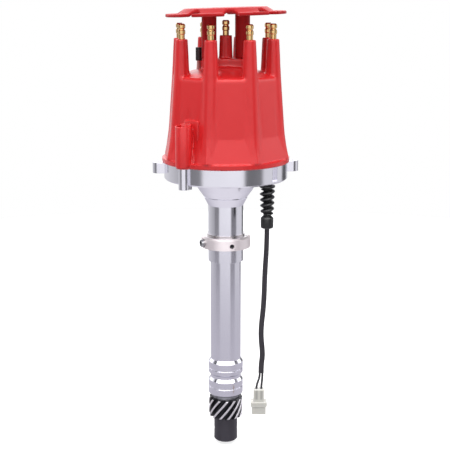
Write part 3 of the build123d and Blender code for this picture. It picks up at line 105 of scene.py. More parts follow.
def makeMottle():
    # two tones that drift into each other, for any moulded, cast or machined surface
    tree, given, result = newGroup(
        "mottle",
        [("Tone A", "color", (1, 1, 1, 1)), ("Tone B", "color", (0, 0, 0, 1)),
         ("Scale", "value", 60.0), ("Contrast", "value", 1.0)],
        [("Color", "color"), ("Mask", "value")],
    )
    point = objectPoint(tree)
    broad = noiseNode(tree, point, given.outputs["Scale"], 4.0, 0.6)
    centred = mathNode(tree, "SUBTRACT", broad, 0.5)
    spread = mathNode(tree, "MULTIPLY_ADD", centred, given.outputs["Contrast"], 0.5)
    mask = tree.nodes.new("ShaderNodeClamp")
    tree.links.new(spread, mask.inputs["Value"])
    mix = tree.nodes.new("ShaderNodeMix")
    mix.data_type = "RGBA"
    tree.links.new(mask.outputs[0], mix.inputs["Factor"])
    tree.links.new(given.outputs["Tone A"], mix.inputs["A"])
    tree.links.new(given.outputs["Tone B"], mix.inputs["B"])
    tree.links.new(mix.outputs["Result"], result.inputs["Color"])
    tree.links.new(mask.outputs[0], result.inputs["Mask"])
    return tree


def makeTurning():
    # fine rings that a lathe tool leaves: by height on a wall, by radius on a flat end
    tree, given, result = newGroup(
        "turning",
        [("Pitch", "value", 0.0004), ("Unevenness", "value", 0.5), ("Streaks", "value", 900.0)],
        [("Height", "value")],
    )
    along = mathNode(tree, "ADD", *heightAndRadius(tree))
    turns = mathNode(tree, "DIVIDE", along, given.outputs["Pitch"])
    wave = mathNode(tree, "SINE", mathNode(tree, "MULTIPLY", turns, 6.2832))  # radians in a turn
    join = tree.nodes.new("ShaderNodeCombineXYZ")
    tree.links.new(mathNode(tree, "MULTIPLY", along, given.outputs["Streaks"]), join.inputs[2])
    streak = noiseNode(tree, join.outputs[0], 1.0, 5.0, 0.7)
    mixed = mathNode(tree, "MULTIPLY_ADD", streak, given.outputs["Unevenness"], wave)
    tree.links.new(mixed, result.inputs["Height"])
    return tree


def makeEdgeWear():
    # 1 on worn outer edges and 0 on flats, broken up by a fine noise
    tree, given, result = newGroup(
        "edgeWear",
        [("Reach", "value", 0.0004), ("Gain", "value", 6.0), ("Breakup", "value", 900.0),
         ("Evenness", "value", 0.35)],
        [("Mask", "value"), ("Normal", "vector")],
    )
    bevel = tree.nodes.new("ShaderNodeBevel")
    bevel.samples = 4
    tree.links.new(given.outputs["Reach"], bevel.inputs["Radius"])
    geometry = tree.nodes.new("ShaderNodeNewGeometry")
    dot = tree.nodes.new("ShaderNodeVectorMath")
    dot.operation = "DOT_PRODUCT"
    tree.links.new(bevel.outputs[0], dot.inputs[0])
    tree.links.new(geometry.outputs["Normal"], dot.inputs[1])
    bend = mathNode(tree, "SUBTRACT", 1.0, dot.outputs["Value"])
    gained = mathNode(tree, "MULTIPLY", bend, given.outputs["Gain"])
    speck = noiseNode(tree, objectPoint(tree), given.outputs["Breakup"], 2.0)
    raised = mathNode(tree, "ADD", speck, given.outputs["Evenness"])
    broken = mathNode(tree, "MULTIPLY", gained, raised)
    clamp = tree.nodes.new("ShaderNodeClamp")
    tree.links.new(broken, clamp.inputs["Value"])
    tree.links.new(clamp.outputs[0], result.inputs["Mask"])
    tree.links.new(bevel.outputs[0], result.inputs["Normal"])
    return tree


def makeGrain():
    # the fine skin of a moulding or a casting, with a slow orange-peel swell
    tree, given, result = newGroup(
        "grain",
        [("Fine", "value", 4000.0), ("Swell", "value", 120.0), ("Swell Share", "value", 0.5)],
        [("Height", "value")],
    )
    point = objectPoint(tree)
    fine = noiseNode(tree, point, given.outputs["Fine"], 2.0)
    swell = noiseNode(tree, point, given.outputs["Swell"], 1.0)
    mix = tree.nodes.new("ShaderNodeMix")
    tree.links.new(given.outputs["Swell Share"], mix.inputs["Factor"])
    tree.links.new(fine, mix.inputs["A"])
    tree.links.new(swell, mix.inputs["B"])
    tree.links.new(mix.outputs["Result"], result.inputs["Height"])
    return tree


def makeRadiusBand():
    # 0 inside the start radius and 1 beyond the end radius, measured from the shaft's axis
    tree, given, result = newGroup(
        "radiusBand", [("Start", "value", 0.01), ("End", "value", 0.011)], [("Mask", "value")])
    height, radius = heightAndRadius(tree)
    band = tree.nodes.new("ShaderNodeMapRange")
    tree.links.new(radius, band.inputs["Value"])
    tree.links.new(given.outputs["Start"], band.inputs["From Min"])
    tree.links.new(given.outputs["End"], band.inputs["From Max"])
    tree.links.new(band.outputs[0], result.inputs["Mask"])
    return tree


def makeSlabMask():
    # 1 in a box about a centre, with soft sides, for the painted shade of something seen faintly under a
    # surface
    tree, given, result = newGroup(
        "slabMask", [("Centre", "vector", (0, 0, 0)), ("Half", "vector", (0.001, 0.001, 0.001)),
                     ("Soft", "value", 0.0004)], [("Mask", "value")])
    away = tree.nodes.new("ShaderNodeVectorMath")
    away.operation = "SUBTRACT"
    tree.links.new(objectPoint(tree), away.inputs[0])
    tree.links.new(given.outputs["Centre"], away.inputs[1])
    size = tree.nodes.new("ShaderNodeVectorMath")
    size.operation = "ABSOLUTE"
    tree.links.new(away.outputs[0], size.inputs[0])
    over = tree.nodes.new("ShaderNodeVectorMath")
    over.operation = "SUBTRACT"
    tree.links.new(given.outputs["Half"], over.inputs[0])
    tree.links.new(size.outputs[0], over.inputs[1])
    split = tree.nodes.new("ShaderNodeSeparateXYZ")
    tree.links.new(over.outputs[0], split.inputs[0])
    lesser = mathNode(tree, "MINIMUM", split.outputs[1], split.outputs[2])
    least = mathNode(tree, "MINIMUM", split.outputs[0], lesser)
    clamp = tree.nodes.new("ShaderNodeClamp")
    tree.links.new(mathNode(tree, "DIVIDE", least, given.outputs["Soft"]), clamp.inputs["Value"])
    tree.links.new(clamp.outputs[0], result.inputs["Mask"])
    return tree


groups = {
    "mottle": makeMottle(),
    "turning": makeTurning(),
    "edgeWear": makeEdgeWear(),
    "grain": makeGrain(),
    "radiusBand": makeRadiusBand(),
    "slabMask": makeSlabMask(),
}
print("shader groups ready")


def placeGroup(tree, name, values):
    node = tree.nodes.new("ShaderNodeGroup")
    node.node_tree = groups[name]
    for socket, value in values.items():
        node.inputs[socket].default_value = value
    return node


def startMaterial(name):
    material = bpy.data.materials.new(name)
    material.use_nodes = True
    tree = material.node_tree
    return material, tree, tree.nodes["Principled BSDF"]


def mixValues(tree, factor, first, second):
    node = tree.nodes.new("ShaderNodeMix")
    tree.links.new(factor, node.inputs["Factor"])
    node.inputs["A"].default_value = first
    node.inputs["B"].default_value = second
    return node.outputs["Result"]


def mixColors(tree, factor, first, second):
    node = tree.nodes.new("ShaderNodeMix")
    node.data_type = "RGBA"
    tree.links.new(factor, node.inputs["Factor"])
    tree.links.new(first, node.inputs["A"])
    node.inputs["B"].default_value = (*second, 1)
    return node.outputs["Result"]


def finishMaterial(name, look):
    # every finish is two tones, a roughness range, worn edges and a fine relief
    material, tree, shader = startMaterial(name)
    mottle = placeGroup(tree, "mottle", {
        "Tone A": (*look["tone"], 1), "Tone B": (*look["toneB"], 1),
        "Scale": look.get("mottleScale", 60.0), "Contrast": look.get("mottleContrast", 1.0)})
    edge = placeGroup(tree, "edgeWear", {
        "Reach": look.get("edgeReach", 0.0003), "Gain": look.get("edgeGain", 3.0)})
    color = mottle.outputs["Color"]
    if "edgeTone" in look:
        color = mixColors(tree, edge.outputs["Mask"], color, look["edgeTone"])
    low, high = look["roughness"]
    rough = mixValues(tree, mottle.outputs["Mask"], low, high)
    for band in look.get("bands", ()):
        # another finish beyond a radius: the collar's matte outer face; on the gear, painted shade over
        # the teeth and a painted highlight on their crests
        edges = {"Start": band["start"], "End": band["end"]}
        mask = placeGroup(tree, "radiusBand", edges).outputs["Mask"]
        color = mixColors(tree, mask, color, band["tone"])
        bandRough = tree.nodes.new("ShaderNodeMix")
        tree.links.new(mask, bandRough.inputs["Factor"])
        tree.links.new(rough, bandRough.inputs["A"])
        bandRough.inputs["B"].default_value = band["roughness"]
        rough = bandRough.outputs["Result"]
    # painted shade: the colour darkens in each box where something inside would show through the surface
    for centre, half, share, tint in look.get("paintedThroughShade", ()):
        slab = placeGroup(tree, "slabMask", {"Centre": centre, "Half": half, "Soft": look["underSoft"]})
        color = mixColors(tree, mathNode(tree, "MULTIPLY", slab.outputs["Mask"], share), color, tint)
    tree.links.new(color, shader.inputs["Base Color"])
    tree.links.new(rough, shader.inputs["Roughness"])
    if "subsurface" in look:
        shader.inputs["Subsurface Weight"].default_value = look["subsurface"]
        shader.inputs["Subsurface Radius"].default_value = look["subsurfaceTint"]
        shader.inputs["Subsurface Scale"].default_value = look["subsurfaceDepth"]
    shader.inputs["Metallic"].default_value = look.get("metallic", 0.0)
    shader.inputs["Specular IOR Level"].default_value = look.get("specular", 0.5)
    shader.inputs["Coat Weight"].default_value = look.get("coat", 0.0)
    shader.inputs["Coat Roughness"].default_value = look.get("coatRoughness", 0.1)
    bump = tree.nodes.new("ShaderNodeBump")
    bump.inputs["Strength"].default_value = look.get("relief", 0.1)
    bump.inputs["Distance"].default_value = look.get("reliefDepth", 0.00005)
    if "turningPitch" in look:
        turning = placeGroup(tree, "turning", {"Pitch": look["turningPitch"]})
        tree.links.new(turning.outputs["Height"], bump.inputs["Height"])
    else:
        grain = placeGroup(tree, "grain", {
            "Fine": look.get("grainFine", 4000.0), "Swell": look.get("grainSwell", 150.0),
            "Swell Share": look.get("swellShare", 0.4)})
        tree.links.new(grain.outputs["Height"], bump.inputs["Height"])
    tree.links.new(edge.outputs["Normal"], bump.inputs["Normal"])
    tree.links.new(bump.outputs[0], shader.inputs["Normal"])
    return material


looks = {
    "polishedAluminium": {"tone": (0.78, 0.77, 0.83), "toneB": (0.72, 0.71, 0.77), "mottleScale": 25.0,
                          "roughness": (0.13, 0.20), "metallic": 1.0, "turningPitch": 0.00035,
                          "relief": 0.06, "reliefDepth": 0.00002, "edgeReach": 0.0004},
    # the polished lip inside the radius band is darker: partly its polish, partly painted shade for the
    # dark ring where the tube meets the collar
    "bareAluminium": {"tone": (0.50, 0.47, 0.48), "toneB": (0.42, 0.40, 0.41), "roughness": (0.10, 0.16),
                      "metallic": 1.0, "turningPitch": 0.0003, "relief": 0.12,
                      "edgeTone": (0.85, 0.82, 0.82), "edgeGain": 3.0,
                      "bands": [{"start": 0.0203, "end": 0.0207, "tone": (0.86, 0.79, 0.79),
                                 "roughness": 0.45}]},
    "gearIron": {"tone": (0.052, 0.047, 0.060), "toneB": (0.042, 0.038, 0.048), "mottleScale": 120.0,
                 "roughness": (0.38, 0.48), "metallic": 0.4, "relief": 0.12, "grainFine": 2500.0,
                 "bands": [
                     # painted shade: outward of this radius the gear is near black, for the dark gaps
                     # between the teeth
                     {"start": 0.0112, "end": 0.0118, "tone": (0.012, 0.012, 0.016), "roughness": 0.36},
                     # painted highlight: the tooth crests are pale, for the bright line along each crest
                     {"start": 0.0154, "end": 0.0158, "tone": (0.66, 0.63, 0.68), "roughness": 0.34}]},
    "groundSteel": {"tone": (0.55, 0.55, 0.57), "toneB": (0.45, 0.45, 0.47), "roughness": (0.2, 0.3),
                    "metallic": 1.0, "turningPitch": 0.0003, "relief": 0.1},
    "plateSteel": {"tone": (0.60, 0.57, 0.50), "toneB": (0.50, 0.48, 0.44), "roughness": (0.28, 0.42),
                   "metallic": 1.0, "relief": 0.2, "grainFine": 3000.0},
    "springSteel": {"tone": (0.42, 0.42, 0.43), "toneB": (0.33, 0.33, 0.34), "roughness": (0.25, 0.35),
                    "metallic": 1.0, "relief": 0.1},
    "washerSteel": {"tone": (0.40, 0.40, 0.43), "toneB": (0.28, 0.28, 0.30), "roughness": (0.25, 0.4),
                    "metallic": 1.0, "turningPitch": 0.00045, "relief": 0.15},
    "blackScrew": {"tone": (0.05, 0.05, 0.055), "toneB": (0.035, 0.035, 0.04), "roughness": (0.3, 0.45),
                   "metallic": 0.7, "edgeTone": (0.2, 0.2, 0.21), "relief": 0.2},
    "zincScrew": {"tone": (0.66, 0.65, 0.60), "toneB": (0.55, 0.54, 0.50), "roughness": (0.25, 0.35),
                  "metallic": 1.0, "relief": 0.15},
    "redPlastic": {"tone": (0.67, 0.021, 0.024), "toneB": (0.62, 0.016, 0.018), "mottleScale": 30.0,
                   "roughness": (0.30, 0.38), "relief": 0.10, "grainFine": 2500.0,
                   "reliefDepth": 0.00003, "edgeReach": 0.0004, "specular": 0.4, "coat": 0.22,
                   "coatRoughness": 0.2},
    "retainerPlastic": {"tone": (0.46, 0.013, 0.016), "toneB": (0.41, 0.011, 0.013), "mottleScale": 30.0,
                        "roughness": (0.34, 0.42), "relief": 0.10, "edgeReach": 0.0005,
                        "specular": 0.16},
    "rotorPlastic": {"tone": (0.50, 0.03, 0.03), "toneB": (0.44, 0.025, 0.025), "roughness": (0.4, 0.5)},
    "terminalBrass": {"tone": (0.80, 0.56, 0.26), "toneB": (0.66, 0.43, 0.18), "mottleScale": 120.0,
                      "roughness": (0.07, 0.15), "metallic": 1.0, "turningPitch": 0.0005,
                      "relief": 0.12, "edgeReach": 0.0002},
    "bronze": {"tone": (0.50, 0.34, 0.17), "toneB": (0.42, 0.27, 0.13), "roughness": (0.35, 0.5),
               "metallic": 1.0},
    "blackPlastic": {"tone": (0.018, 0.018, 0.022), "toneB": (0.012, 0.012, 0.015),
                     "roughness": (0.42, 0.55)},
    "blackRubber": {"tone": (0.013, 0.013, 0.014), "toneB": (0.008, 0.008, 0.009),
                    "roughness": (0.28, 0.40), "relief": 0.25, "grainFine": 1800.0},
    "cableJacket": {"tone": (0.026, 0.022, 0.029), "toneB": (0.018, 0.015, 0.021),
                    "roughness": (0.35, 0.48), "relief": 0.2},
    "whiteNylon": {"tone": (0.68, 0.67, 0.63), "toneB": (0.62, 0.61, 0.57), "roughness": (0.34, 0.46),
                   "edgeReach": 0.0003, "subsurface": 0.35, "subsurfaceTint": (1.0, 0.95, 0.85),
                   "subsurfaceDepth": 0.002, "underSoft": 0.0007,
                   # painted shade of the pins that show through the nylon: centre, half size, share and
                   # tone
                   "paintedThroughShade": [
                       ((x, -0.0350, -0.1322), (0.0014, 0.0040, 0.0046), 0.55, (0.30, 0.29, 0.28))
                       for x in (0.0281, 0.0326)]},
    "magnetFerrite": {"tone": (0.04, 0.04, 0.043), "toneB": (0.03, 0.03, 0.032),
                      "roughness": (0.5, 0.65)},
    "coilTape": {"tone": (0.02, 0.02, 0.023), "toneB": (0.015, 0.015, 0.017),
                 "roughness": (0.4, 0.55)},
    "carbon": {"tone": (0.03, 0.03, 0.032), "toneB": (0.02, 0.02, 0.022), "roughness": (0.45, 0.6)},
    "stemNylon": {"tone": (0.55, 0.40, 0.38), "toneB": (0.48, 0.35, 0.33), "roughness": (0.4, 0.5)},
}
materials = {name: finishMaterial(name, look) for name, look in looks.items()}

slotFinish = {
    "polished_aluminium": "polishedAluminium", "bare_aluminium": "bareAluminium", "bronze": "bronze",
    "bearing_steel": "groundSteel", "spring_steel": "springSteel", "zinc_screw": "zincScrew",
    "black_screw": "blackScrew", "ground_steel": "groundSteel", "plate_steel": "plateSteel",
    "washer_steel": "washerSteel", "gear_iron": "gearIron", "red_plastic": "redPlastic",
    "retainer_plastic": "retainerPlastic", "rotor_plastic": "rotorPlastic",
    "terminal_brass": "terminalBrass", "black_plastic": "blackPlastic", "vent_stem_nylon": "stemNylon",
    "magnet_ferrite": "magnetFerrite", "coil_plastic": "coilTape", "wire_insulation": "cableJacket",
    "cable_jacket": "cableJacket", "black_rubber": "blackRubber", "white_nylon": "whiteNylon",
    "carbon": "carbon",
}
nodeFinish = {"collar_clamp_screw": "springSteel"}
for part in frame["record"]["subparts"]:
    cadPiece = nodes[part["node"]]
    cadPiece.data.materials.clear()
    finish = nodeFinish.get(part["node"], slotFinish[part["material_slot"]])
    cadPiece.data.materials.append(materials[finish])

studio = {
    "eyeDistance": 0.930, "eyeHeight": 0.224, "pitchDeg": 12.4, "lens": 83.2, "sensor": 36.0,
    "sidePx": 0.8, "widePx": 450,  # the view turns by the first, in pixels of a picture this wide
    "floorZ": -0.1925, "floorRadius": 1.1, "floorSides": 96, "floorTone": 0.62, "floorLift": 0.72,
    "floorRoughness": 0.9, "floorSpecular": 0.1,
    "fill": 0.29, "sheen": 1.12,  # world strength for diffuse light, and for reflections
}

# the room as gloss sees it; edges are where one part passes into the next, as a height from -1 to 1
room = {
    "groundEdge": (-0.278, -0.238), "nearPlace": 0.10, "nearTone": (0.84, 0.82, 0.87),
    "farPlace": 0.5, "farTone": (0.555, 0.540, 0.600),
    "wallBlue": 1.03, "upperEdge": (0.03, 0.16), "upperWalls": 2.4,
    "cornerRise": (0.42, 0.50), "cornerSide": (0.40, 0.46), "cornerTone": (0.10, 0.10, 0.11),
    "boxRise": (0.40, 0.52), "boxAhead": (-0.22, -0.36), "boxTone": (4.5, 4.5, 4.5),
}

# brightness of the room by compass direction, in degrees from +X, the camera at -90
roomBands = [
    (-180, 0.45), (-170, 0.40), (-163, 0.22), (-138, 0.22), (-131, 0.92), (-58, 0.98), (-52, 0.14),
    (-22, 0.18), (-14, 0.74), (36, 0.74), (42, 0.10), (58, 0.10), (66, 0.66), (130, 0.68),
    (150, 0.60), (172, 0.50), (180, 0.45),
]


def makeCamera():
    data = bpy.data.cameras.new("camera")
    camera = bpy.data.objects.new("camera", data)
    bpy.context.scene.collection.objects.link(camera)
    data.lens = studio["lens"]
    data.sensor_width = studio["sensor"]
    yaw = math.atan(studio["sidePx"] / (studio["lens"] / studio["sensor"] * studio["widePx"]))
    camera.location = (0, -studio["eyeDistance"], studio["eyeHeight"])
    camera.rotation_euler = (math.radians(90 - studio["pitchDeg"]), 0, yaw)
    bpy.context.scene.camera = camera


def makeWorld():
    # plain fill light; gloss sees a bright front, darker corners and a pale ground
    world = bpy.data.worlds.new("studio")
    bpy.context.scene.world = world
    world.use_nodes = True
    tree = world.node_tree
    fill = tree.nodes["Background"]
    fill.inputs["Color"].default_value = (studio["fill"],) * 3 + (1,)
    light = tree.nodes.new("ShaderNodeLightPath")
    split = tree.nodes.new("ShaderNodeSeparateXYZ")
    tree.links.new(tree.nodes.new("ShaderNodeTexCoord").outputs["Generated"], split.inputs[0])
    compass = mathNode(tree, "ARCTAN2", split.outputs[1], split.outputs[0])
    share = mathNode(tree, "MULTIPLY_ADD", compass, 0.5 / math.pi, 0.5)
    ramp = tree.nodes.new("ShaderNodeValToRGB")
    ramp.color_ramp.interpolation = "EASE"
    stops = ramp.color_ramp.elements
    while len(stops) > 1:
        stops.remove(stops[-1])
    for index, (degrees, level) in enumerate(roomBands):
        place = (degrees + 180) / 360
        stop = stops[0] if index == 0 else stops.new(place)
        stop.position = place
        stop.color = (level, level, level * room["wallBlue"], 1)
    tree.links.new(share, ramp.inputs[0])
    height = split.outputs[2]
    ground = rangeNode(tree, height, room["groundEdge"], "SMOOTHSTEP")
    # the ground is darker far off than close under the object
    near = tree.nodes.new("ShaderNodeValToRGB")
    for stop, end in zip(near.color_ramp.elements, ("near", "far")):
        stop.position = room[end + "Place"]
        stop.color = (*room[end + "Tone"], 1)
    tree.links.new(mathNode(tree, "ADD", height, 1.0), near.inputs[0])
    # the walls are brighter above the horizon
    upper = rangeNode(tree, height, room["upperEdge"], "SMOOTHSTEP")
    upper.inputs["To Min"].default_value = 1.0
    upper.inputs["To Max"].default_value = room["upperWalls"]
    walls = tree.nodes.new("ShaderNodeVectorMath")
    walls.operation = "SCALE"
    tree.links.new(ramp.outputs[0], walls.inputs[0])
    tree.links.new(upper.outputs[0], walls.inputs["Scale"])
    seen = tree.nodes.new("ShaderNodeMix")
    seen.data_type = "RGBA"
    tree.links.new(ground.outputs[0], seen.inputs["Factor"])
    tree.links.new(near.outputs[0], seen.inputs["A"])
    tree.links.new(walls.outputs[0], seen.inputs["B"])
    # the room is dark high up on both sides, and light straight overhead
    high = rangeNode(tree, height, room["cornerRise"], "SMOOTHSTEP")
    sideways = mathNode(tree, "ABSOLUTE", split.outputs[0])
    aside = rangeNode(tree, sideways, room["cornerSide"], "SMOOTHSTEP")
    corners = mathNode(tree, "MULTIPLY", high.outputs[0], aside.outputs[0])
    shaded = mixColors(tree, corners, seen.outputs["Result"], room["cornerTone"])
    # a bright box stands high in front, for the highlights on rounded shoulders
    rise = rangeNode(tree, height, room["boxRise"])
    ahead = rangeNode(tree, split.outputs[1], room["boxAhead"])
    box = mathNode(tree, "MULTIPLY", rise.outputs[0], ahead.outputs[0])
    shaded = mixColors(tree, box, shaded, room["boxTone"])
    shine = tree.nodes.new("ShaderNodeBackground")
    tree.links.new(shaded, shine.inputs["Color"])
    shine.inputs["Strength"].default_value = studio["sheen"]
    white = tree.nodes.new("ShaderNodeBackground")
    white.inputs["Color"].default_value = (1, 1, 1, 1)
    glossMix = tree.nodes.new("ShaderNodeMixShader")
    tree.links.new(light.outputs["Is Glossy Ray"], glossMix.inputs["Fac"])
    tree.links.new(fill.outputs[0], glossMix.inputs[1])
    tree.links.new(shine.outputs[0], glossMix.inputs[2])
    cameraMix = tree.nodes.new("ShaderNodeMixShader")
    tree.links.new(light.outputs["Is Camera Ray"], cameraMix.inputs["Fac"])
    tree.links.new(glossMix.outputs[0], cameraMix.inputs[1])
    tree.links.new(white.outputs[0], cameraMix.inputs[2])
    tree.links.new(cameraMix.outputs[0], tree.nodes["World Output"].inputs["Surface"])


def makeFloor():
    sides = studio["floorSides"]
    rim = [2 * math.pi * step / sides for step in range(sides)]
    mesh = bpy.data.meshes.new("floor")
    radius = studio["floorRadius"]
    mesh.from_pydata([(radius * math.cos(a), radius * math.sin(a), studio["floorZ"]) for a in rim],
                     [], [tuple(range(sides))])
    floor = bpy.data.objects.new("floor", mesh)
    floor.visible_glossy = False
    bpy.context.scene.collection.objects.link(floor)
    material, tree, shader = startMaterial("paperFloor")
    shader.inputs["Base Color"].default_value = (studio["floorTone"],) * 3 + (1,)
    shader.inputs["Roughness"].default_value = studio["floorRoughness"]
    shader.inputs["Specular IOR Level"].default_value = studio["floorSpecular"]
    light = tree.nodes.new("ShaderNodeLightPath")
    lifted = tree.nodes.new("ShaderNodeEmission")
    seen = mathNode(tree, "MULTIPLY", light.outputs["Is Camera Ray"], studio["floorLift"])
    tree.links.new(seen, lifted.inputs["Strength"])
    add = tree.nodes.new("ShaderNodeAddShader")
    tree.links.new(shader.outputs[0], add.inputs[0])
    tree.links.new(lifted.outputs[0], add.inputs[1])
    tree.links.new(add.outputs[0], tree.nodes["Material Output"].inputs["Surface"])
    mesh.materials.append(material)


# soft boxes: name, place, width and depth, and watts; all look at one point
lamps = [
    ("frontBox", (-0.15, -0.70, 1.72), (1.2, 1.0), 19),
    ("leftBox", (-1.3, -0.3, 1.05), (0.8, 1.2), 11),
    ("rightBox", (1.3, -0.5, 1.05), (0.8, 1.2), 13),
    ("backBox", (0.2, 1.3, 0.9), (1.0, 1.2), 7),
    ("topBox", (0, 0.0, 1.5), (1.4, 1.4), 4),
]
lampTarget = (0, 0, 0.02)


def makeLamp(name, spot, size, power):
    data = bpy.data.lights.new(name, "AREA")
    data.shape = "RECTANGLE"
    data.size, data.size_y = size
    data.energy = power
    lamp = bpy.data.objects.new(name, data)
    lamp.location = spot
    lamp.rotation_euler = (Vector(lampTarget) - Vector(spot)).to_track_quat("-Z", "Y").to_euler()
    lamp.visible_glossy = False
    bpy.context.scene.collection.objects.link(lamp)


makeCamera()
makeWorld()
makeFloor()
for lamp in lamps:
    makeLamp(*lamp)
bpy.context.scene.view_settings.view_transform = "Standard"
print("camera and light set")


def newPiece(name, bm, finish, body, smoothDeg=40):
    bmesh.ops.recalc_face_normals(bm, faces=bm.faces)
    mesh = bpy.data.meshes.new(name)
    bm.to_mesh(mesh)
    bm.free()
    mesh.materials.append(materials[finish])
    piece = bpy.data.objects.new(name, mesh)
    bpy.context.scene.collection.objects.link(piece)
    for face in mesh.polygons:
        face.use_smooth = True
    mesh.set_sharp_from_angle(angle=math.radians(smoothDeg))
    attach(piece, body)
    return piece


def smoothLine(points, resolution=24):
    # a NURBS line through the room that these points hold, read back as a list of points
    data = bpy.data.curves.new("line", "CURVE")
    data.dimensions = "3D"
    data.resolution_u = resolution
    spline = data.splines.new("NURBS")
    spline.points.add(len(points) - 1)
    for place, point in zip(spline.points, points):
        place.co = (*point, 1)
    spline.order_u = 3
    spline.use_endpoint_u = True
    line = bpy.data.objects.new("line", data)
    mesh = bpy.data.meshes.new_from_object(line)
    path = [vertex.co.copy() for vertex in mesh.vertices]
    bpy.data.objects.remove(line)
    bpy.data.curves.remove(data)
    bpy.data.meshes.remove(mesh)
    return path


def lineLength(path):
    return sum((b - a).length for a, b in zip(path, path[1:]))


def sweepAlong(bm, path, ringAt):
    # ringAt(share, side, up) gives a closed ring of offsets round the line
    total = lineLength(path)
    side = Vector((1, 0, 0))
    rings, run = [], 0.0
    for index, point in enumerate(path):
        before, after = path[max(index - 1, 0)], path[min(index + 1, len(path) - 1)]
        run += (point - path[index - 1]).length if index else 0.0
        along = (after - before).normalized()
        side = (side - along * side.dot(along)).normalized()
        up = along.cross(side)
        rings.append([bm.verts.new(point + offset) for offset in ringAt(run / total, side, up)])
    for lower, upper in zip(rings, rings[1:]):
        count = len(lower)
        for k in range(count):
            bm.faces.new((lower[k], lower[(k + 1) % count], upper[(k + 1) % count], upper[k]))
    bm.faces.new(reversed(rings[0]))
    bm.faces.new(rings[-1])


lead = {
    "route": [
        (0.0365, -0.0301, 0.0235), (0.0365, -0.0301, 0.0080), (0.0349, -0.0304, -0.0180),
        (0.0343, -0.0309, -0.0470), (0.0314, -0.0310, -0.0730), (0.0337, -0.0307, -0.0940),
        (0.0323, -0.0304, -0.1040), (0.0323, -0.0304, -0.1120),
    ],
    "width": 0.0050, "strandRadius": 0.00132, "strandGap": 0.00112,
    "twistStartDeg": 42, "twistEndDeg": 2,  # the flat lead turns a little on its way down
    "arcDeg": 118, "arcSteps": 10,  # each core's open arc, either side of its outermost point
}


def twinRing(share, side, up):
    # two round cores side by side, joined by a thin web
    turn = math.radians(lead["twistStartDeg"] + (lead["twistEndDeg"] - lead["twistStartDeg"]) * share)
    wide = side * math.cos(turn) + up * math.sin(turn)
    flat = up * math.cos(turn) - side * math.sin(turn)
    ring = []
    for end in (1, -1):
        for step in range(lead["arcSteps"] + 1):
            angle = math.radians(-lead["arcDeg"] + 2 * lead["arcDeg"] * step / lead["arcSteps"])
            angle += 0 if end > 0 else math.pi
            centre = end * lead["strandGap"]
            ring.append(wide * (centre + lead["strandRadius"] * math.cos(angle))
                        + flat * (lead["strandRadius"] * math.sin(angle)))
    return ring


def makeLead():
    path = smoothLine(lead["route"])
    bm = bmesh.new()
    sweepAlong(bm, path, twinRing)
    cable = newPiece("pickupLead", bm, "cableJacket", "housing_assembly", 60)
    cable.visible_glossy = False
    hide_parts("pickup_cable")
    print("lead length", round(lineLength(path), 4))


makeLead()

leadWires = {
    "routes": [
        [(0.0311, -0.0304, -0.1114), (0.0311, -0.0304, -0.1160), (0.0282, -0.0304, -0.1240),
         (0.0281, -0.0304, -0.1275)],
        [(0.0335, -0.0304, -0.1114), (0.0335, -0.0304, -0.1160), (0.0327, -0.0304, -0.1240),
         (0.0326, -0.0304, -0.1275)],
    ],
    "radius": 0.00098, "sides": 16,
}


def makeLeadWires():
    # the lead's two cores, apart below its jacket
    bm = bmesh.new()
    turns = [2 * math.pi * step / leadWires["sides"] for step in range(leadWires["sides"])]
    for route in leadWires["routes"]:
        sweepAlong(bm, smoothLine(route), lambda share, side, up: [
            (side * math.cos(turn) + up * math.sin(turn)) * leadWires["radius"] for turn in turns])
    wires = newPiece("leadWires", bm, "cableJacket", "housing_assembly", 60)
    wires.visible_glossy = False
    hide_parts("plug_wires")
    print("lead wires made")


makeLeadWires()

relief = {
    "spot": (0.0365, -0.0301), "around": 56,
    "stem": [(0.0706, 0.0040), (0.0622, 0.0040)],
    "flange": [(0.0618, 0.0068), (0.0604, 0.0069), (0.0598, 0.0062)],
    "lobeTop": 0.0592, "lobeBottom": 0.0352, "pitch": 0.00515, "coreRadius": 0.0032,
    "topRadius": 0.00685, "bottomRadius": 0.0059, "crestPower": 0.6,
    "steps": 150, "endShare": 0.07,  # the lobe grows over this share of its length at either end
    "cuff": [(0.0336, 0.0049), (0.0330, 0.0055), (0.0322, 0.0057), (0.0246, 0.0056),
             (0.0238, 0.0053)],
    "mouth": [(0.0235, 0.0047), (0.0238, 0.0028)],
}


def makeRelief():
    # a rubber sleeve with one spiral lobe that runs down it like a thick thread
    rows = [(z, r, 0.0) for z, r in relief["stem"] + relief["flange"]]
    for step in range(relief["steps"] + 1):
        share = step / relief["steps"]
        z = relief["lobeTop"] + (relief["lobeBottom"] - relief["lobeTop"]) * share
        crest = relief["topRadius"] + (relief["bottomRadius"] - relief["topRadius"]) * share
        ends = min(1.0, share / relief["endShare"], (1 - share) / relief["endShare"])
        lobe = (crest - relief["coreRadius"]) * math.sin(ends * math.pi / 2)
        rows.append((z, relief["coreRadius"], lobe))
    rows += [(z, r, 0.0) for z, r in relief["cuff"] + relief["mouth"]]
    bm = bmesh.new()
    rings = []
    for z, core, lobe in rows:
        ring = []
        for k in range(relief["around"]):
            angle = 2 * math.pi * k / relief["around"]
            wave = 0.5 + 0.5 * math.cos(2 * math.pi * (z / relief["pitch"]) - angle)
            radius = core + lobe * wave ** relief["crestPower"]
            ring.append(bm.verts.new((relief["spot"][0] + radius * math.cos(angle),
                                      relief["spot"][1] + radius * math.sin(angle), z)))
        rings.append(ring)
    count = relief["around"]
    for upper, lower in zip(rings, rings[1:]):
        for k in range(count):
            bm.faces.new((upper[k], upper[(k + 1) % count], lower[(k + 1) % count], lower[k]))
    bm.faces.new(rings[0])
    bm.faces.new(reversed(rings[-1]))
    sleeve = newPiece("spiralStrainRelief", bm, "blackRubber", "housing_assembly", 50)
    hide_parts("strain_relief")
    print("strain relief made")


makeRelief()


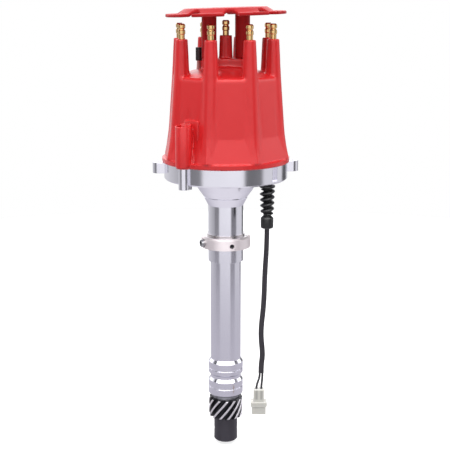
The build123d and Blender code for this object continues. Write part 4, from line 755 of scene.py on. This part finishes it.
def softCopy(nodeName, pieceName, finish, body, values, weightAt=None, shapeAt=None):
    # an even mesh over the node's own shape, with its edges rounded as a mould leaves them
    draft = bpy.data.objects.new(pieceName + "Draft", nodes[nodeName].data.copy())
    bpy.context.scene.collection.objects.link(draft)
    even = draft.modifiers.new("even", "REMESH")
    even.mode = "VOXEL"
    even.voxel_size = values["voxel"]
    even.adaptivity = 0.0
    mesh = bpy.data.meshes.new_from_object(draft.evaluated_get(bpy.context.evaluated_depsgraph_get()))
    draft.modifiers.clear()
    draft.data = mesh
    if shapeAt:
        moved = [shapeAt(vertex.co, vertex.normal) for vertex in mesh.vertices]
        for vertex, place in zip(mesh.vertices, moved):
            vertex.co = place
    soften = draft.modifiers.new("soften", "SMOOTH")
    soften.factor = 0.5
    soften.iterations = values["rounds"]
    if weightAt:
        levels = {}
        for vertex in mesh.vertices:
            levels.setdefault(round(weightAt(vertex.co), 1), []).append(vertex.index)
        group = draft.vertex_groups.new(name="soft")
        for level, found in levels.items():
            group.add(found, level, "REPLACE")
        soften.vertex_group = group.name
    soft = bpy.data.meshes.new_from_object(draft.evaluated_get(bpy.context.evaluated_depsgraph_get()))
    bpy.data.objects.remove(draft)
    soft.name = pieceName
    soft.materials.clear()
    soft.materials.append(materials[finish])
    for face in soft.polygons:
        face.use_smooth = True
    piece = bpy.data.objects.new(pieceName, soft)
    bpy.context.scene.collection.objects.link(piece)
    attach(piece, body)
    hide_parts(nodeName)
    print(pieceName, "has", len(soft.polygons), "faces")
    return piece


capSoft = {
    "voxel": 0.00075, "rounds": 22,
    "columnReach": 0.0092, "columnZ": 0.1215, "wallRadius": 0.0448, "domeZ": 0.1573,
    "bottomZ": 0.0812, "topZ": 0.168, "topFade": 0.006, "flatsZ": 0.1075,
    "innerWeight": 0.1, "columnWeight": 0.1, "flatsWeight": 0.2, "detailWeight": 0.15,
}

# below the waist a flat leans out of each panel, cut off on both sides by ribs that broaden downward
capSkirt = {
    "towerDeg": -107.0, "count": 8, "low": 0.0826, "high": 0.1052, "ribTop": 0.150,
    "flatDistance": (0.0543, 0.0498), "panelDistance": (0.0517, 0.0499, 0.0468),
    "ribCrest": (0.0576, 0.0542, 0.0503), "ribSpreadDeg": (15.8, 12.8, 9.0), "rootDeg": 10.0,
    "facingOut": 0.1,  # how far outward a face has to look to be shaped
}

# each screw column has a sloping top, and a plate joins it to the cap's wall
screwColumn = {
    "anglesDeg": (50.5, 230.5), "reach": 0.057, "foot": 0.0817, "top": 0.1163, "topSlope": 0.18,
    "outer": 0.0071, "well": 0.0055, "wellFloor": 0.0885, "lip": 0.0005, "innerLip": 0.6,
    "outerLip": 0.3, "sides": 64, "cover": 0.0050,
    "plateInner": 0.0445, "plateOuter": 0.0503, "plateSides": (-0.0050, 0.0108), "plateEdge": 0.0010,
    "plateFootSides": (-0.0050, 0.0070), "plateHeights": (0.0835, 0.0990, 0.1200),
}

# the plain band at the cap's foot
capBand = {
    "outer": 0.05728, "inner": 0.0520, "low": 0.0795, "top": 0.08325, "edge": 0.0003, "sides": 128,
    "cover": 0.0003,  # the cap's own surface keeps this far under the band
}


def columnSpot(degrees):
    angle = math.radians(degrees)
    return screwColumn["reach"] * math.cos(angle), screwColumn["reach"] * math.sin(angle)


columnSpots = [columnSpot(degrees) for degrees in screwColumn["anglesDeg"]]


def between(values, point):
    # a value given at the skirt's foot, its waist and the top of the wall
    low, high, top = capSkirt["low"], capSkirt["high"], capSkirt["ribTop"]
    share = (point.z - low) / (high - low)
    if share <= 1 or len(values) == 2:
        return values[0] + (values[1] - values[0]) * share
    share = (point.z - high) / (top - high)
    return values[1] + (values[2] - values[1]) * share


def nearColumn(point):
    away = min(math.hypot(point.x - x, point.y - y) for x, y in columnSpots)
    return away < capSoft["columnReach"]


def capSkirtShape(point, normal):
    radius = math.hypot(point.x, point.y)
    if nearColumn(point) and radius > screwColumn["plateOuter"]:
        # the made column covers this one, so its top keeps below the sloping one
        slope = (radius - screwColumn["reach"]) * screwColumn["topSlope"]
        highest = screwColumn["top"] - screwColumn["cover"] - slope
        return Vector((point.x, point.y, min(point.z, highest)))
    if radius > capBand["inner"] and point.z < capBand["top"]:
        scale = min(1.0, (capBand["outer"] - capBand["cover"]) / radius)
        highest = capBand["top"] - capBand["cover"]
        return Vector((point.x * scale, point.y * scale, min(point.z, highest)))
    if normal.x * point.x + normal.y * point.y < capSkirt["facingOut"] * radius:
        return point  # an inner wall, or a level face
    if not capSkirt["low"] < point.z < capSkirt["ribTop"] or nearColumn(point):
        return point
    step = 2 * math.pi / capSkirt["count"]
    angle = math.atan2(point.y, point.x) - math.radians(capSkirt["towerDeg"])
    fromRib = abs((angle + step / 2) % step - step / 2)
    root = between(capSkirt["panelDistance"], point) / math.cos(math.radians(capSkirt["rootDeg"]))
    panel = min(root, between(capSkirt["panelDistance"], point) / math.cos(step / 2 - fromRib))
    spread = math.radians(between(capSkirt["ribSpreadDeg"], point))
    swell = math.cos(math.pi / 2 * min(1.0, fromRib / spread)) ** 2
    wanted = panel + (between(capSkirt["ribCrest"], point) - root) * swell
    if point.z < capSkirt["high"]:
        fromFlat = step / 2 - fromRib
        wanted = max(wanted, between(capSkirt["flatDistance"], point) / math.cos(fromFlat))
    else:
        # higher up the rib's own root takes over
        keep = (capSkirt["ribTop"] - point.z) / (capSkirt["ribTop"] - capSkirt["high"])
        wanted = radius + max(0.0, wanted - radius) * keep
    scale = wanted / radius
    return Vector((point.x * scale, point.y * scale, point.z))


def capWeight(point):
    # walls and dome are well rounded; towers, screw columns, flats and the joint keep their form
    radius = math.hypot(point.x, point.y)
    if radius < capSoft["wallRadius"] and point.z < capSoft["domeZ"]:
        return capSoft["innerWeight"]
    if point.z < capSoft["bottomZ"]:
        return capSoft["innerWeight"]
    if nearColumn(point) and point.z < capSoft["columnZ"]:
        return capSoft["columnWeight"]
    if point.z < capSoft["flatsZ"]:
        return capSoft["flatsWeight"]
    fade = (point.z - capSoft["topZ"]) / capSoft["topFade"]
    return 1.0 - (1 - capSoft["detailWeight"]) * min(1.0, max(0.0, fade))


def spinProfile(bm, profile, centre, sides, drop=lambda x, y: 0.0):
    # turns a list of radius and height about an upright line
    rings = []
    for radius, z in profile:
        ring = []
        for k in range(sides):
            angle = 2 * math.pi * k / sides
            x, y = radius * math.cos(angle), radius * math.sin(angle)
            ring.append(bm.verts.new(centre + Vector((x, y, z - drop(x, y)))))
        rings.append(ring)
    for low, high in zip(rings, rings[1:]):
        for k in range(sides):
            ahead = (k + 1) % sides
            bm.faces.new((low[k], high[k], high[ahead], low[ahead]))


def addColumnPlate(bm, out, across):
    # a block with rounded edges, narrower at its foot
    size = screwColumn
    sides = (size["plateFootSides"], size["plateSides"], size["plateSides"])
    rings = []
    for z, (left, right) in zip(size["plateHeights"], sides):
        corners = ((size["plateInner"], left), (size["plateOuter"], left),
                   (size["plateOuter"], right), (size["plateInner"], right))
        rings.append([bm.verts.new(out * reach + across * side + Vector((0, 0, z)))
                      for reach, side in corners])
    faces = [bm.faces.new(rings[0][::-1]), bm.faces.new(rings[-1])]
    for low, high in zip(rings, rings[1:]):
        faces += [bm.faces.new((low[k], low[(k + 1) % 4], high[(k + 1) % 4], high[k]))
                  for k in range(4)]
    edges = list({edge for face in faces for edge in face.edges})
    bmesh.ops.bevel(bm, geom=edges, offset=size["plateEdge"], segments=3, profile=0.5,
                    affect="EDGES")


def makeScrewColumns():
    bm = bmesh.new()
    size = screwColumn
    top, lip = size["top"], size["lip"]
    inLip, outLip = lip * size["innerLip"], lip * size["outerLip"]
    profile = [
        (size["well"], size["wellFloor"]), (size["well"], top - lip), (size["well"] + inLip, top),
        (size["outer"] - lip, top), (size["outer"] - outLip, top - outLip),
        (size["outer"], top - lip), (size["outer"], size["foot"]),
    ]
    for degrees in size["anglesDeg"]:
        angle = math.radians(degrees)
        out = Vector((math.cos(angle), math.sin(angle), 0))
        across = Vector((-math.sin(angle), math.cos(angle), 0))

        def sloping(x, y):
            return (x * out.x + y * out.y) * size["topSlope"]

        spinProfile(bm, profile, out * size["reach"], size["sides"], sloping)
        addColumnPlate(bm, out, across)
    columns = newPiece("screwColumns", bm, "redPlastic", "housing_assembly", 30)
    print("screw columns made")


def makeCapBand():
    bm = bmesh.new()
    size = capBand
    spinProfile(bm, [
        (size["inner"], size["top"]), (size["outer"] - size["edge"], size["top"]),
        (size["outer"], size["top"] - size["edge"]), (size["outer"], size["low"] + size["edge"]),
        (size["outer"] - size["edge"], size["low"]), (size["inner"], size["low"]),
    ], Vector(), size["sides"])
    band = newPiece("capBand", bm, "redPlastic", "housing_assembly", 30)
    print("cap band made")


softCopy("distributor_cap", "mouldedCap", "redPlastic", "housing_assembly",
         capSoft, capWeight, capSkirtShape)
makeScrewColumns()
makeCapBand()

retainerSoft = {"voxel": 0.0006, "rounds": 6}
softCopy("wire_retainer", "mouldedRetainer", "retainerPlastic", "housing_assembly",
         retainerSoft)

plugSoft = {"voxel": 0.00025, "rounds": 5}
plug = softCopy("plug_housing", "mouldedPlug", "whiteNylon", "housing_assembly",
                plugSoft)
plug.visible_glossy = False
